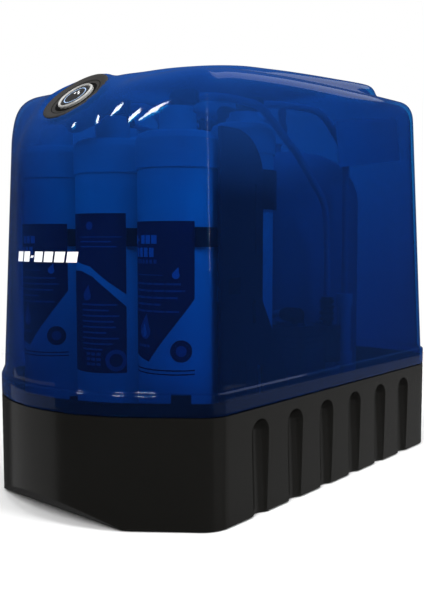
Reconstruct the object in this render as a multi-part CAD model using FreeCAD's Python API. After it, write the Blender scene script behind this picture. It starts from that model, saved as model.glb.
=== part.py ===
import FreeCAD, Part
import math
import os

from FreeCAD import Vector

# Closed-case reverse osmosis unit, in millimetres.
# Frame: +X right, +Y back, +Z up, seen from the front; the origin is on the ground at the
# middle of the case's plan. The rounded nose of the case faces -Y.

# ---------------------------------------------------------------- driving dimensions
CASE_DEPTH = 415.0
CASE_WIDTH = 260.0
NOSE_RADIUS = 135.4
FACET_ANGLE = 37.9
FACET_CORNER_RADIUS = 23.4
REAR_CORNER_RADIUS = 21.0
CASE_WALL = 3.0
BAND_STEP = 2.6

FOOT_HEIGHT = 1.5
FLOOR_TOP = FOOT_HEIGHT + CASE_WALL
SEAM_Z = 86.5
SEAM_GAP = 0.8
BAND_TOP_Z = 104.0
TONGUE_TOP_Z = 96.5
TONGUE_WALL = 2.0
TONGUE_GAP = 0.5
BEVEL_FOOT_Y = -186.0
BEVEL_RISE = 17.9
BEVEL_RUN = 22.5

FLUTE_COUNT = 6
FLUTE_FIRST_Y = -92.5
FLUTE_PITCH = 48.0
FLUTE_RADIUS = 12.5
FLUTE_TOP_Z = 79.0
FLUTE_DEPTH_TOP = 7.0
FLUTE_DEPTH_FOOT = 3.5

DRAFT_HEIGHT = 300.0
DRAFT_INSET = 14.4
CORNER_SOFTENING = 9.0
REAR_DRAFT_RELIEF = 5.0
ROOF_EDGE_RADIUS = 18.0
PLATEAU_HALF_WIDTH = 80.0
PLATEAU_NOSE_HALF_WIDTH = 36.0
PLATEAU_REAR_Y = 185.0
PLATEAU_CORNER_RADIUS = 14.0
PLATEAU_EDGE_RADIUS = 11.0

BADGE_Y = -164.2
BADGE_Z = 332.0
BADGE_TILT = 42.0
BADGE_BOSS_RADIUS = 33.0
BADGE_HOLE_RADIUS = 25.0
BEZEL_RADIUS = 30.0
BEZEL_BARREL_RADIUS = 24.6
BEZEL_RIM_HEIGHT = 1.2
BUTTON_RING_RADIUS = 16.0
BUTTON_RING_WIDTH = 2.2
BUTTON_GAP = 0.8

FRONT_ROW_Y = -125.0
FRONT_PITCH = 75.0
FRONT_BODY_RADIUS = 31.75
FRONT_CAP_RADIUS = 32.9
FRONT_CAP_Z = 272.0
FRONT_CAP_TOP_Z = 300.0
FRONT_NECK_TOP_Z = 320.0
LABEL_TOP_Z = 231.5
LABEL_BOTTOM_Z = 112.0
LABEL_THICKNESS = 0.3
REAR_ROW_Y = -42.0
REAR_PITCH = 74.0
REAR_BODY_RADIUS = 26.0
REAR_CAP_RADIUS = 28.0
REAR_CAP_Z = 290.0
REAR_CAP_TOP_Z = 316.0
REAR_NECK_TOP_Z = 326.0
NECK_RADIUS = 14.5
CARTRIDGE_BOTTOM_Z = 34.0
CARTRIDGE_FOOT_Z = 24.0

PLATE_FRONT_Y = -84.0
PLATE_BACK_Y = -80.0
PLATE_TOP_Z = 290.0
FLANGE_INNER_X = 111.0
FLANGE_OUTER_X = 114.0
FLANGE_FRONT_Y = -119.0
FLANGE_BACK_Y = -66.0
FLANGE_TOP_Z = 303.0
GUSSET_BACK_Y = -29.0
FEED_RUN_X = -106.5

TANK_X = 0.0
TANK_Y = 98.0
TANK_RADIUS = 92.0
TANK_BOTTOM_Z = 16.0
TANK_TOP_Z = 306.0
TANK_WALL = 2.0
TANK_DOME = 52.0
LEVER_REACH = 15.0
TANK_VALVE_Z = REAR_NECK_TOP_Z + 8.0

PUMP_X = 98.0
PUMP_Y = 8.0
PUMP_CAN_RADIUS = 20.0
PUMP_CAN_BOTTOM_Z = 26.0
PUMP_CAN_TOP_Z = 98.0
PUMP_HEAD_TOP_Z = 142.0
PUMP_SHAFT_RADIUS = 2.5
PUMP_SHAFT_CLEARANCE = 0.03

SCREW_RADIUS = 2.0
SCREW_REACH = 5.0

TUBE_RADIUS = 3.175
ELBOW_RADIUS = 6.5
ELBOW_RISE = 8.0
ELBOW_REACH = 17.0

PORT_Z = 50.0
PORT_FEED_X = -104.0
PORT_PRODUCT_X = -82.0
PORT_DRAIN_X = 82.0
DC_JACK_X = 104.0
PORT_FLOOR_Y = 197.0
PORT_INNER_Y = 178.0
PORT_BORE_RADIUS = 3.25
COLLET_TRAVEL = 1.2

UP = Vector(0, 0, 1)
TILT = math.radians(BADGE_TILT)
BADGE_CENTRE = Vector(0, BADGE_Y, BADGE_Z)
BADGE_NORMAL = Vector(0, -math.sin(TILT), math.cos(TILT))
REAR_Y = CASE_DEPTH / 2
SIDE_X = CASE_WIDTH / 2


# ---------------------------------------------------------------- small helpers
def save(name, *solids):
    """Write one node: a single solid, or a compound of separate solids."""
    shape = solids[0] if len(solids) == 1 else Part.makeCompound(list(solids))
    if not shape.isValid() or not shape.Solids:
        raise ValueError(f"{name} isn't a valid solid")
    shape.exportStep(f"parts/{name}.step")
    print(f"{name}: {len(shape.Solids)} solid(s), {shape.Volume / 1000:.1f} cm3")


def block(x0, x1, y0, y1, z0, z1):
    return Part.makeBox(x1 - x0, y1 - y0, z1 - z0, Vector(x0, y0, z0))


def rod(radius, start, axis, length):
    return Part.makeCylinder(radius, length, start, axis)


def pipe(outer, inner, start, axis, length):
    return rod(outer, start, axis, length).cut(rod(inner, start, axis, length))


def post(radius, x, y, z0, z1):
    return rod(radius, Vector(x, y, z0), UP, z1 - z0)


def ring(outer, inner, x, y, z0, z1):
    return pipe(outer, inner, Vector(x, y, z0), UP, z1 - z0)


def polygon_prism(points, direction):
    """Extrude a closed polygon of Vectors along direction."""
    face = Part.Face(Part.makePolygon(points + [points[0]]))
    return face.extrude(direction)


def side_prism(profile, half_width):
    """Extrude a closed (y, z) outline through the whole width."""
    points = [Vector(-half_width, y, z) for y, z in profile]
    return polygon_prism(points, Vector(2 * half_width, 0, 0))


def rounded_block(x0, x1, y0, y1, z0, z1, radius):
    """A block with its four upright edges rounded."""
    solid = block(x0, x1, y0, y1, z0, z1)
    upright = [e for e in solid.Edges if abs(e.tangentAt(e.FirstParameter).z) > 0.99]
    return solid.makeFillet(radius, upright)


def revolve_about(x, y, profile):
    """Turn a closed (radius, z) outline about the upright line through (x, y)."""
    points = [Vector(x + r, y, z) for r, z in profile]
    face = Part.Face(Part.makePolygon(points + [points[0]]))
    return face.revolve(Vector(x, y, 0), UP, 360)


def try_fillet(solid, radii, choose):
    """Round the chosen edges with the largest radius in the list that the solid takes."""
    edges = [e for e in solid.Edges if choose(e)]
    for radius in radii:
        try:
            rounded = solid.makeFillet(radius, edges)
        except Part.OCCError:
            continue
        if rounded.isValid() and rounded.Solids:
            return rounded
    raise ValueError("no radius in the list can be made")


# ---------------------------------------------------------------- plan outline of the case
def plan_wire(offset, z, softer=0.0, back_shift=0.0):
    """The case's plan: a nose arc, two flat facets, rounded corners and straight sides.

    Every corner is tangent, so an offset only changes the radii; softer adds to the corners'.
    back_shift moves the back edge rearwards.
    """
    nose = NOSE_RADIUS + offset
    facet_corner = FACET_CORNER_RADIUS + offset + softer
    rear_corner = REAR_CORNER_RADIUS + offset + softer
    half = SIDE_X + offset
    back = REAR_Y + offset + back_shift
    angle = math.radians(FACET_ANGLE)
    nose_centre_y = -REAR_Y + NOSE_RADIUS
    facet_start = Vector(nose * math.sin(angle), nose_centre_y - nose * math.cos(angle), z)
    run = (half - facet_start.x) / math.cos(angle)
    corner = facet_start + Vector(math.cos(angle), math.sin(angle), 0) * run
    setback = facet_corner * math.tan((math.pi / 2 - angle) / 2)
    facet_end = corner - Vector(math.cos(angle), math.sin(angle), 0) * setback
    side_start = corner + Vector(0, setback, 0)
    corner_centre = side_start - Vector(facet_corner, 0, 0)
    middle = -(math.pi / 2 - angle) / 2
    corner_mid = corner_centre + Vector(math.cos(middle), math.sin(middle), 0) * facet_corner
    side_end = Vector(half, back - rear_corner, z)
    rear_centre = Vector(half - rear_corner, back - rear_corner, z)
    rear_mid = rear_centre + Vector(1, 1, 0).normalize() * rear_corner
    rear_start = Vector(half - rear_corner, back, z)

    def mirrored(point):
        return Vector(-point.x, point.y, point.z)

    nose_front = Vector(0, -REAR_Y - offset, z)
    edges = [
        Part.Arc(mirrored(facet_start), nose_front, facet_start),
        Part.LineSegment(facet_start, facet_end),
        Part.Arc(facet_end, corner_mid, side_start),
        Part.LineSegment(side_start, side_end),
        Part.Arc(side_end, rear_mid, rear_start),
        Part.LineSegment(rear_start, mirrored(rear_start)),
        Part.Arc(mirrored(rear_start), mirrored(rear_mid), mirrored(side_end)),
        Part.LineSegment(mirrored(side_end), mirrored(side_start)),
        Part.Arc(mirrored(side_start), mirrored(corner_mid), mirrored(facet_end)),
        Part.LineSegment(mirrored(facet_end), mirrored(facet_start)),
    ]
    return Part.Wire([edge.toShape() for edge in edges])


def plan_prism(offset, z0, z1):
    return Part.Face(plan_wire(offset, z0)).extrude(Vector(0, 0, z1 - z0))


def plan_ring(outer_offset, inner_offset, z0, z1):
    return plan_prism(outer_offset, z0, z1).cut(plan_prism(inner_offset, z0, z1))


# ---------------------------------------------------------------- base tub
def above_bevel(inset):
    """Everything behind the slanted cut under the nose, moved inwards by inset."""
    length = math.hypot(BEVEL_RUN, BEVEL_RISE)
    shift_y = inset * BEVEL_RISE / length
    shift_z = inset * BEVEL_RUN / length
    reach = 6
    low = (BEVEL_FOOT_Y + shift_y + reach * BEVEL_RUN, shift_z - reach * BEVEL_RISE)
    high = (BEVEL_FOOT_Y + shift_y - reach * BEVEL_RUN, shift_z + reach * BEVEL_RISE)
    return side_prism([low, (REAR_Y + 50, low[1]), (REAR_Y + 50, high[1]), high], SIDE_X + 20)


def flute(side, y, radius):
    """One upright channel: a leaning round-topped cutter, deeper at its top."""
    outside = SIDE_X + BAND_STEP
    top_x = side * (outside - FLUTE_DEPTH_TOP + FLUTE_RADIUS)
    foot_x = side * (outside - FLUTE_DEPTH_FOOT + FLUTE_RADIUS)
    top = Vector(top_x, y, FLUTE_TOP_Z - FLUTE_RADIUS)
    foot = Vector(foot_x, y, 0)
    lean = foot - top
    cutter = rod(radius, top, lean, lean.Length * 1.3)
    return cutter.fuse(Part.makeSphere(radius, top))


def port_pocket(side):
    """The recess in the back wall that the connectors sit in: (solid, hollow)."""
    x0, x1 = sorted((side * 69.0, side * 117.5))
    z0, z1 = PORT_Z - 20, PORT_Z + 20
    wall_front = PORT_FLOOR_Y - CASE_WALL
    solid = block(x0, x1, wall_front, REAR_Y, z0, z1)
    hollow = block(x0 + CASE_WALL, x1 - CASE_WALL, PORT_FLOOR_Y, REAR_Y + 10, z0 + CASE_WALL, z1 - CASE_WALL)
    return solid, hollow


def catch_block(side):
    """A snap catch standing on the tongue, beside the facet corner."""
    angle = math.radians(FACET_ANGLE)
    size = Vector(15, 4, 103 - 82)
    catch = Part.makeBox(size.x, size.y, size.z, Vector(-size.x / 2, 0, 82))
    catch.rotate(Vector(0, 0, 0), UP, side * FACET_ANGLE)
    facet = Vector(side * 109.0, -158.8, 0)
    inward = Vector(-side * math.sin(angle), math.cos(angle), 0)
    catch.translate(facet + inward * (CASE_WALL + TONGUE_GAP - BAND_STEP))
    return catch


FOOT_SPOTS = [(x, y) for x in (-88, 88) for y in (-140, 165)]
PLATE_SCREW_SPOTS = [(x, y) for x in (-60, 60) for y in (-100, -66)]


def make_base_tub():
    outer = plan_prism(BAND_STEP, FOOT_HEIGHT, SEAM_Z).common(above_bevel(0))
    cavity = plan_prism(BAND_STEP - CASE_WALL, FLOOR_TOP, SEAM_Z + 1).common(above_bevel(CASE_WALL))
    tub = outer.cut(cavity)
    tongue_outer = BAND_STEP - CASE_WALL - TONGUE_GAP
    tongue_inner = tongue_outer - TONGUE_WALL
    seat = plan_ring(BAND_STEP - CASE_WALL + 0.2, tongue_inner, SEAM_Z - 8, SEAM_Z)
    tongue = plan_ring(tongue_outer, tongue_inner, SEAM_Z, TONGUE_TOP_Z)
    tub = tub.fuse([seat, tongue])
    for side in (-1, 1):
        for index in range(FLUTE_COUNT):
            y = FLUTE_FIRST_Y + FLUTE_PITCH * index
            backing = flute(side, y, FLUTE_RADIUS + CASE_WALL).common(outer)
            tub = tub.fuse(backing)
        solid, _ = port_pocket(side)
        tub = tub.fuse(solid.common(outer))
        tub = tub.fuse(catch_block(side))
    for side in (-1, 1):
        for index in range(FLUTE_COUNT):
            tub = tub.cut(flute(side, FLUTE_FIRST_Y + FLUTE_PITCH * index, FLUTE_RADIUS))
        _, hollow = port_pocket(side)
        tub = tub.cut(hollow)
    for x in (PORT_FEED_X, PORT_PRODUCT_X, PORT_DRAIN_X, DC_JACK_X):
        tub = tub.cut(rod(7.0, Vector(x, PORT_FLOOR_Y - 10, PORT_Z), Vector(0, 1, 0), 20))
    for x, y in FOOT_SPOTS:
        tub = tub.cut(post(3.0, x, y, 0, FLOOR_TOP + 1))
    for x, y in PLATE_SCREW_SPOTS:
        tub = tub.cut(post(SCREW_RADIUS, x, y, FLOOR_TOP + 3 - SCREW_REACH, FLOOR_TOP + 1))
    return tub.removeSplitter()


def make_rubber_feet():
    feet = []
    for x, y in FOOT_SPOTS:
        pad = Part.makeCone(8.0, 9.0, FOOT_HEIGHT, Vector(x, y, 0))
        plug = post(2.9, x, y, FOOT_HEIGHT, FLOOR_TOP + 1.5)
        feet.append(pad.fuse(plug))
    return feet


# ---------------------------------------------------------------- cover
def roof_profile(drop):
    """(y, z) points of the roof line over the shoulders, lowered by drop."""
    line = [
        (-REAR_Y - 30, 254), (-203, 289.5), (-188, 305), (-164, 333), (-142, 344), (-120, 347.5),
        (-103, 350.5), (-80, 353), (-40, 356), (30, 359.5), (110, 362), (REAR_Y + 30, 364.5),
    ]
    return [(y, z - drop) for y, z in line]


def plateau_profile(drop):
    """(y, z) points of the raised centre's top line, lowered by drop."""
    line = [
        (-REAR_Y - 30, 263), (-205, 295.2), (-185, 313.2), (BADGE_Y, BADGE_Z), (-147, 344),
        (-132, 349), (-110, 355), (-80, 361.5), (-45, 366.5), (0, 370.8), (60, 375.3), (100, 378),
        (150, 381.5), (REAR_Y + 30, 385),
    ]
    return [(y, z - drop) for y, z in line]


def smooth_prism(line, floor_z, half_width):
    """A body under a smooth (y, z) line, extruded through the width."""
    points = [Vector(-half_width, y, z) for y, z in line]
    curve = Part.BSplineCurve()
    curve.interpolate(points)
    first, last = points[0], points[-1]
    low_first = Vector(-half_width, first.y, floor_z)
    low_last = Vector(-half_width, last.y, floor_z)
    edges = [
        curve.toShape(),
        Part.LineSegment(last, low_last).toShape(),
        Part.LineSegment(low_last, low_first).toShape(),
        Part.LineSegment(low_first, first).toShape(),
    ]
    return Part.Face(Part.Wire(edges)).extrude(Vector(2 * half_width, 0, 0))


def plateau_plan(inset):
    """Raised centre of the roof: narrow round the badge, full width towards the back."""
    nose = PLATEAU_NOSE_HALF_WIDTH - inset
    full = PLATEAU_HALF_WIDTH - inset
    back = PLATEAU_REAR_Y - inset
    front = -REAR_Y - 10
    corner = PLATEAU_CORNER_RADIUS
    z = 250.0
    flank_points = [
        Vector(nose, front, z), Vector(nose, -165, z), Vector(nose + 2.5, -141, z),
        Vector(56 - inset, -104, z), Vector(full, -40, z),
    ]
    flank_curve = Part.BSplineCurve()
    flank_curve.interpolate(flank_points, InitialTangent=Vector(0, 1, 0), FinalTangent=Vector(0, 1, 0))
    diagonal = corner * (1 - math.sqrt(0.5))
    right = [
        flank_curve.toShape(),
        Part.LineSegment(flank_points[-1], Vector(full, back - corner, z)).toShape(),
        Part.Arc(
            Vector(full, back - corner, z),
            Vector(full - diagonal, back - diagonal, z),
            Vector(full - corner, back, z)).toShape(),
    ]
    left = [edge.mirror(Vector(0, 0, 0), Vector(1, 0, 0)) for edge in right]
    rear = Part.LineSegment(Vector(full - corner, back, z), Vector(corner - full, back, z)).toShape()
    nose_line = Part.LineSegment(Vector(-nose, front, z), Vector(nose, front, z)).toShape()
    return Part.Face(Part.Wire(Part.__sortEdges__(right + left + [rear, nose_line])))


def hood_block(inset):
    """The hood's outer form, moved inwards by inset, standing on the band's top level."""
    low = plan_wire(-inset, BAND_TOP_Z - 1)
    high = plan_wire(
        -inset - DRAFT_INSET, BAND_TOP_Z - 1 + DRAFT_HEIGHT, CORNER_SOFTENING, REAR_DRAFT_RELIEF)
    walls = Part.makeLoft([low, high], True, True)
    body = walls.common(smooth_prism(roof_profile(inset * 1.05), 50, SIDE_X + 20))

    def on_roof_edge(edge):
        box = edge.BoundBox
        return box.ZMin > 200 and edge.Length > 4

    radius = ROOF_EDGE_RADIUS - inset
    body = try_fillet(body, [radius - 2 * step for step in range(9)], on_roof_edge)
    plateau = plateau_plan(inset).extrude(Vector(0, 0, 170))
    plateau = plateau.common(smooth_prism(plateau_profile(inset * 1.02), 240, SIDE_X + 20))

    def on_plateau_edge(edge):
        box = edge.BoundBox
        return box.ZMax > 335 and box.XLength + box.YLength > 3

    plateau = try_fillet(plateau, [PLATEAU_EDGE_RADIUS - step for step in range(10)], on_plateau_edge)
    return body.fuse(plateau.common(walls))


def make_cover_shell():
    outer = hood_block(0)
    inner = hood_block(CASE_WALL)
    boss = rod(BADGE_BOSS_RADIUS, BADGE_CENTRE - BADGE_NORMAL * 16, BADGE_NORMAL, 16)
    hollow_boss = rod(BADGE_HOLE_RADIUS, BADGE_CENTRE - BADGE_NORMAL * 40, BADGE_NORMAL, 60)
    boss_core_length = 30 - CASE_WALL
    boss_core = rod(
        BADGE_BOSS_RADIUS - CASE_WALL, BADGE_CENTRE - BADGE_NORMAL * 30, BADGE_NORMAL, boss_core_length)
    bezel_seat = rod(BEZEL_RADIUS + 0.6, BADGE_CENTRE, BADGE_NORMAL, 20)
    shell = outer.fuse(boss).cut(inner).cut(boss_core).cut(bezel_seat)
    band = plan_ring(BAND_STEP, BAND_STEP - CASE_WALL, SEAM_Z + SEAM_GAP, BAND_TOP_Z)
    shoulder = plan_ring(BAND_STEP, -CASE_WALL, BAND_TOP_Z - 1, BAND_TOP_Z + 0.6)
    shell = shell.fuse([band, shoulder])
    below = plan_prism(BAND_STEP - CASE_WALL, 60, BAND_TOP_Z - 1)
    shell = shell.cut(below)
    shell = shell.cut(hollow_boss)
    return shell


# ---------------------------------------------------------------- badge, button and label
def at_badge(solid):
    """Move a piece made about the origin with +Z outwards to its place on the badge."""
    solid.rotate(Vector(0, 0, 0), Vector(1, 0, 0), BADGE_TILT)
    solid.translate(BADGE_CENTRE)
    return solid


def make_badge_bezel():
    rim = BEZEL_RIM_HEIGHT
    hole = BUTTON_RING_RADIUS + BUTTON_GAP
    profile = [
        (hole, -9), (BEZEL_BARREL_RADIUS, -9), (BEZEL_BARREL_RADIUS, 0.1), (BEZEL_RADIUS, 0.1),
        (BEZEL_RADIUS, rim - 0.6), (BEZEL_RADIUS - 0.6, rim), (BEZEL_RADIUS - 2.4, rim),
        (hole + 4, -0.6), (hole, -0.6),
    ]
    return at_badge(revolve_about(0, 0, profile))


def make_timer_housing():
    """The timer's case under the button, with a shoulder that carries the bezel's barrel."""
    cup = ring(20, 17.6, 0, 0, -19, -9)
    floor = post(20, 0, 0, -21, -19)
    return at_badge(cup.fuse(floor))


def make_button_ring():
    inner = BUTTON_RING_RADIUS - BUTTON_RING_WIDTH
    profile = [
        (inner, -1), (BUTTON_RING_RADIUS, -1), (BUTTON_RING_RADIUS, 0.8),
        (BUTTON_RING_RADIUS - 0.7, 1.6), (inner + 0.7, 1.6), (inner, 0.8),
    ]
    return at_badge(revolve_about(0, 0, profile))


def make_button_disc():
    inner = BUTTON_RING_RADIUS - BUTTON_RING_WIDTH
    profile = [
        (0, -7), (BUTTON_RING_RADIUS, -7), (BUTTON_RING_RADIUS, -1), (inner, -1),
        (inner, 0.4), (inner - 1, 0.9), (0, 1.3),
    ]
    stem = post(3, 0, 0, -12, -7)
    return at_badge(revolve_about(0, 0, profile).fuse(stem))


def make_rating_label():
    """A blank sticker on the inside of the right wall, a little crooked, leaning with the draft."""
    length, height, thickness = 119.0, 42.0, 0.4
    label = Part.makeBox(thickness, length, height, Vector(-thickness, -length / 2, -height / 2))
    label.rotate(Vector(0, 0, 0), Vector(1, 0, 0), 7.5)
    lean = math.degrees(math.atan(DRAFT_INSET / DRAFT_HEIGHT))
    label.rotate(Vector(0, 0, 0), Vector(0, 1, 0), -lean)
    middle_z = 312.0
    inside = SIDE_X - CASE_WALL - DRAFT_INSET * (middle_z - BAND_TOP_Z + 1) / DRAFT_HEIGHT
    label.translate(Vector(inside - 0.15, 100, middle_z))
    return label


# ---------------------------------------------------------------- chassis and clips
def make_chassis_plate():
    z0 = FLOOR_TOP
    plate = block(-FLANGE_INNER_X, FLANGE_INNER_X, PLATE_FRONT_Y, PLATE_BACK_Y, z0, PLATE_TOP_Z)
    for x in (-37.5, 37.5):
        plate = plate.cut(rounded_slot(x, 110, 190))
    gate = block(FEED_RUN_X - 5.5, FEED_RUN_X + 5.5, PLATE_FRONT_Y - 1, PLATE_BACK_Y + 1, z0 - 1, LOW + 8)
    plate = plate.cut(gate)
    feet = [
        block(-75, 75, PLATE_FRONT_Y - 26, PLATE_FRONT_Y, z0, z0 + 3),
        block(-75, 75, PLATE_BACK_Y, PLATE_BACK_Y + 24, z0, z0 + 3),
    ]
    plate = plate.fuse(feet)
    for x, y in PLATE_SCREW_SPOTS:
        plate = plate.cut(post(SCREW_RADIUS, x, y, z0 - 1, z0 + 4))
    return plate.removeSplitter()


def rounded_slot(x, z0, z1):
    """An upright slot with round ends through the chassis plate."""
    radius = 9.0
    depth = PLATE_BACK_Y - PLATE_FRONT_Y + 2
    start_y = PLATE_FRONT_Y - 1
    slot = block(x - radius, x + radius, start_y, start_y + depth, z0 + radius, z1 - radius)
    for z in (z0 + radius, z1 - radius):
        slot = slot.fuse(rod(radius, Vector(x, start_y, z), Vector(0, 1, 0), depth))
    return slot


def make_chassis_flange(side):
    """Side cheek of the chassis: round rear top corner, a flared foot, a framed panel, windows."""
    front, back, top = FLANGE_FRONT_Y, FLANGE_BACK_Y, FLANGE_TOP_Z
    corner = 36.0
    x0, x1 = sorted((side * FLANGE_INNER_X, side * FLANGE_OUTER_X))
    y_mid = back - corner * (1 - math.cos(math.pi / 4))
    z_mid = top - corner * (1 - math.sin(math.pi / 4))

    def at(y, z):
        return Vector(x0, y, z)

    edges = [
        Part.LineSegment(at(front, FLOOR_TOP), at(front, top)),
        Part.LineSegment(at(front, top), at(back - corner, top)),
        Part.Arc(at(back - corner, top), at(y_mid, z_mid), at(back, top - corner)),
        Part.LineSegment(at(back, top - corner), at(back, 168)),
        Part.LineSegment(at(back, 168), at(GUSSET_BACK_Y, 100)),
        Part.LineSegment(at(GUSSET_BACK_Y, 100), at(GUSSET_BACK_Y, FLOOR_TOP)),
        Part.LineSegment(at(GUSSET_BACK_Y, FLOOR_TOP), at(front, FLOOR_TOP)),
    ]
    wire = Part.Wire([edge.toShape() for edge in edges])
    cheek = Part.Face(wire).extrude(Vector(x1 - x0, 0, 0))
    outside0, outside1 = sorted((side * (FLANGE_OUTER_X - 1.2), side * (FLANGE_OUTER_X + 1)))
    panel = block(outside0, outside1, front + 13, front + 44, 206, 262)
    window = block(x0 - 1, x1 + 1, front + 10, front + 24, 175, 188)
    slit = block(x0 - 1, x1 + 1, front + 40, front + 44, 150, 170)
    low = [Vector(x0 - 1, y, z) for y, z in ((-106, 121), (-88, 121), (-88, 60), (-97, 60))]
    low_window = polygon_prism(low, Vector(x1 - x0 + 2, 0, 0))
    high = [Vector(x0 - 1, y, z) for y, z in ((-73, 116), (-65, 114), (-63, 80), (-69, 80))]
    high_window = polygon_prism(high, Vector(x1 - x0 + 2, 0, 0))
    for hole in (panel, window, slit, low_window, high_window):
        cheek = cheek.cut(hole)
    return cheek


def c_clip(x, y, radius, z0, z1, opening_angle, mouth_sign, plate_y):
    """A spring clip round a cartridge, open towards mouth_sign * Y, on a bridge to the plate."""
    inner, outer = radius + 0.35, radius + 3.35
    clip = ring(outer, inner, x, y, z0, z1)
    reach = outer * 2
    half = math.radians(opening_angle)
    mouth = [
        Vector(x, y, z0 - 1),
        Vector(x - reach * math.sin(half), y + mouth_sign * reach * math.cos(half), z0 - 1),
        Vector(x - reach, y + mouth_sign * reach, z0 - 1),
        Vector(x + reach, y + mouth_sign * reach, z0 - 1),
        Vector(x + reach * math.sin(half), y + mouth_sign * reach * math.cos(half), z0 - 1),
    ]
    clip = clip.cut(polygon_prism(mouth, Vector(0, 0, z1 - z0 + 2)))
    bridge_y0, bridge_y1 = sorted((plate_y, y - mouth_sign * (inner + 1)))
    bridge = block(x - 11, x + 11, bridge_y0, bridge_y1, z0, z1)
    bridge = bridge.cut(post(inner, x, y, z0 - 1, z1 + 1))
    return clip.fuse(bridge).removeSplitter()


def make_front_clips():
    clips = []
    for x in (-FRONT_PITCH, 0, FRONT_PITCH):
        for z0, z1 in ((212, 227), (64, 79)):
            clips.append(c_clip(x, FRONT_ROW_Y, FRONT_BODY_RADIUS, z0, z1, 66, -1, PLATE_FRONT_Y))
    return clips


def make_rear_clips():
    clips = []
    for x in (-REAR_PITCH, 0, REAR_PITCH):
        for z0, z1 in ((243, 276), (64, 79)):
            clips.append(c_clip(x, REAR_ROW_Y, REAR_BODY_RADIUS, z0, z1, 60, 1, PLATE_BACK_Y))
    return clips


def machine_screw(x, y, z):
    """M4 cheese-head screw with its head's underside at z."""
    shank = post(SCREW_RADIUS, x, y, z - SCREW_REACH, z)
    head = post(3.5, x, y, z, z + 2.4)
    slot = block(x - 4, x + 4, y - 0.5, y + 0.5, z + 1.4, z + 3)
    return shank.fuse(head).cut(slot)


def make_chassis_screws():
    return [machine_screw(x, y, FLOOR_TOP + 3) for x, y in PLATE_SCREW_SPOTS]


# ---------------------------------------------------------------- cartridges
def make_cartridge_body(x, y, radius, cap_z):
    soft = 2.0
    profile = [
        (0, CARTRIDGE_BOTTOM_Z + 12), (radius, CARTRIDGE_BOTTOM_Z + 12), (radius, cap_z - 1.4),
        (radius - soft / 2, cap_z - 1.4), (radius - soft / 2, cap_z), (0, cap_z),
    ]
    return revolve_about(x, y, profile)


def make_cartridge_caps(x, y, radius, cap_z, cap_top_z, neck_top_z):
    """Top cap with a stepped neck, and bottom cap with a short neck."""
    top = [
        (0, cap_z), (radius, cap_z), (radius, cap_top_z - 6), (radius - 2, cap_top_z - 2),
        (radius - 6, cap_top_z), (NECK_RADIUS, cap_top_z), (NECK_RADIUS, neck_top_z - 5),
        (NECK_RADIUS - 2.5, neck_top_z - 5), (NECK_RADIUS - 2.5, neck_top_z), (0, neck_top_z),
    ]
    z = CARTRIDGE_BOTTOM_Z
    bottom = [
        (0, CARTRIDGE_FOOT_Z), (NECK_RADIUS - 3, CARTRIDGE_FOOT_Z), (NECK_RADIUS, z), (radius - 8, z),
        (radius - 1, z + 6), (radius, z + 12), (0, z + 12),
    ]
    return [revolve_about(x, y, top), revolve_about(x, y, bottom)]


def make_front_cartridge(name, x):
    y = FRONT_ROW_Y
    save(f"{name}_body", make_cartridge_body(x, y, FRONT_BODY_RADIUS, FRONT_CAP_Z))
    caps = make_cartridge_caps(x, y, FRONT_CAP_RADIUS, FRONT_CAP_Z, FRONT_CAP_TOP_Z, FRONT_NECK_TOP_Z)
    save(f"{name}_caps", *caps)


def make_front_labels():
    """Printed sleeves, each stopping short of the clip that crosses it."""
    inner = FRONT_BODY_RADIUS + 0.02
    outer = inner + LABEL_THICKNESS
    return [
        ring(outer, inner, x, FRONT_ROW_Y, LABEL_BOTTOM_Z, LABEL_TOP_Z + lift)
        for x, lift in ((-FRONT_PITCH, 0), (0, 8), (FRONT_PITCH, 0))
    ]


def make_rear_cartridge(name, x):
    y = REAR_ROW_Y
    save(f"{name}_body", make_cartridge_body(x, y, REAR_BODY_RADIUS, REAR_CAP_Z))
    save(f"{name}_caps", *make_cartridge_caps(
        x, y, REAR_CAP_RADIUS, REAR_CAP_Z, REAR_CAP_TOP_Z, REAR_NECK_TOP_Z))


def make_membrane_vessel():
    wall = 2.6
    z0, z1 = CARTRIDGE_BOTTOM_Z + 12, REAR_CAP_Z
    return ring(REAR_BODY_RADIUS, REAR_BODY_RADIUS - wall, REAR_PITCH, REAR_ROW_Y, z0, z1)


def make_membrane_element():
    """Spiral-wound element with its brine seal and product tube stubs."""
    z0, z1 = CARTRIDGE_BOTTOM_Z + 14, REAR_CAP_Z - 2
    radius = REAR_BODY_RADIUS - 3.2
    profile = [
        (0, z0), (8.5, z0), (8.5, z0 + 12), (radius, z0 + 12), (radius, z1 - 26),
        (radius + 0.4, z1 - 22), (radius - 2, z1 - 18), (8.5, z1 - 18), (8.5, z1), (0, z1),
    ]
    return revolve_about(REAR_PITCH, REAR_ROW_Y, profile)


# ---------------------------------------------------------------- storage tank
def tank_form(shrink):
    """The tank's outer form, shrunk by shrink: a barrel with domed ends."""
    radius = TANK_RADIUS - shrink
    z0, z1 = TANK_BOTTOM_Z + shrink, TANK_TOP_Z - shrink
    dome = TANK_DOME - shrink
    flat = radius - dome

    def at(r, z):
        return Vector(TANK_X + r, TANK_Y, z)

    knuckle = dome * math.sqrt(0.5)
    edges = [
        Part.LineSegment(at(0, z0), at(flat, z0)),
        Part.Arc(at(flat, z0), at(flat + knuckle, z0 + dome - knuckle), at(radius, z0 + dome)),
        Part.LineSegment(at(radius, z0 + dome), at(radius, z1 - dome)),
        Part.Arc(at(radius, z1 - dome), at(flat + knuckle, z1 - dome + knuckle), at(flat, z1)),
        Part.LineSegment(at(flat, z1), at(0, z1)),
        Part.LineSegment(at(0, z1), at(0, z0)),
    ]
    face = Part.Face(Part.Wire([edge.toShape() for edge in edges]))
    return face.revolve(Vector(TANK_X, TANK_Y, 0), UP, 360)


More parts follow.
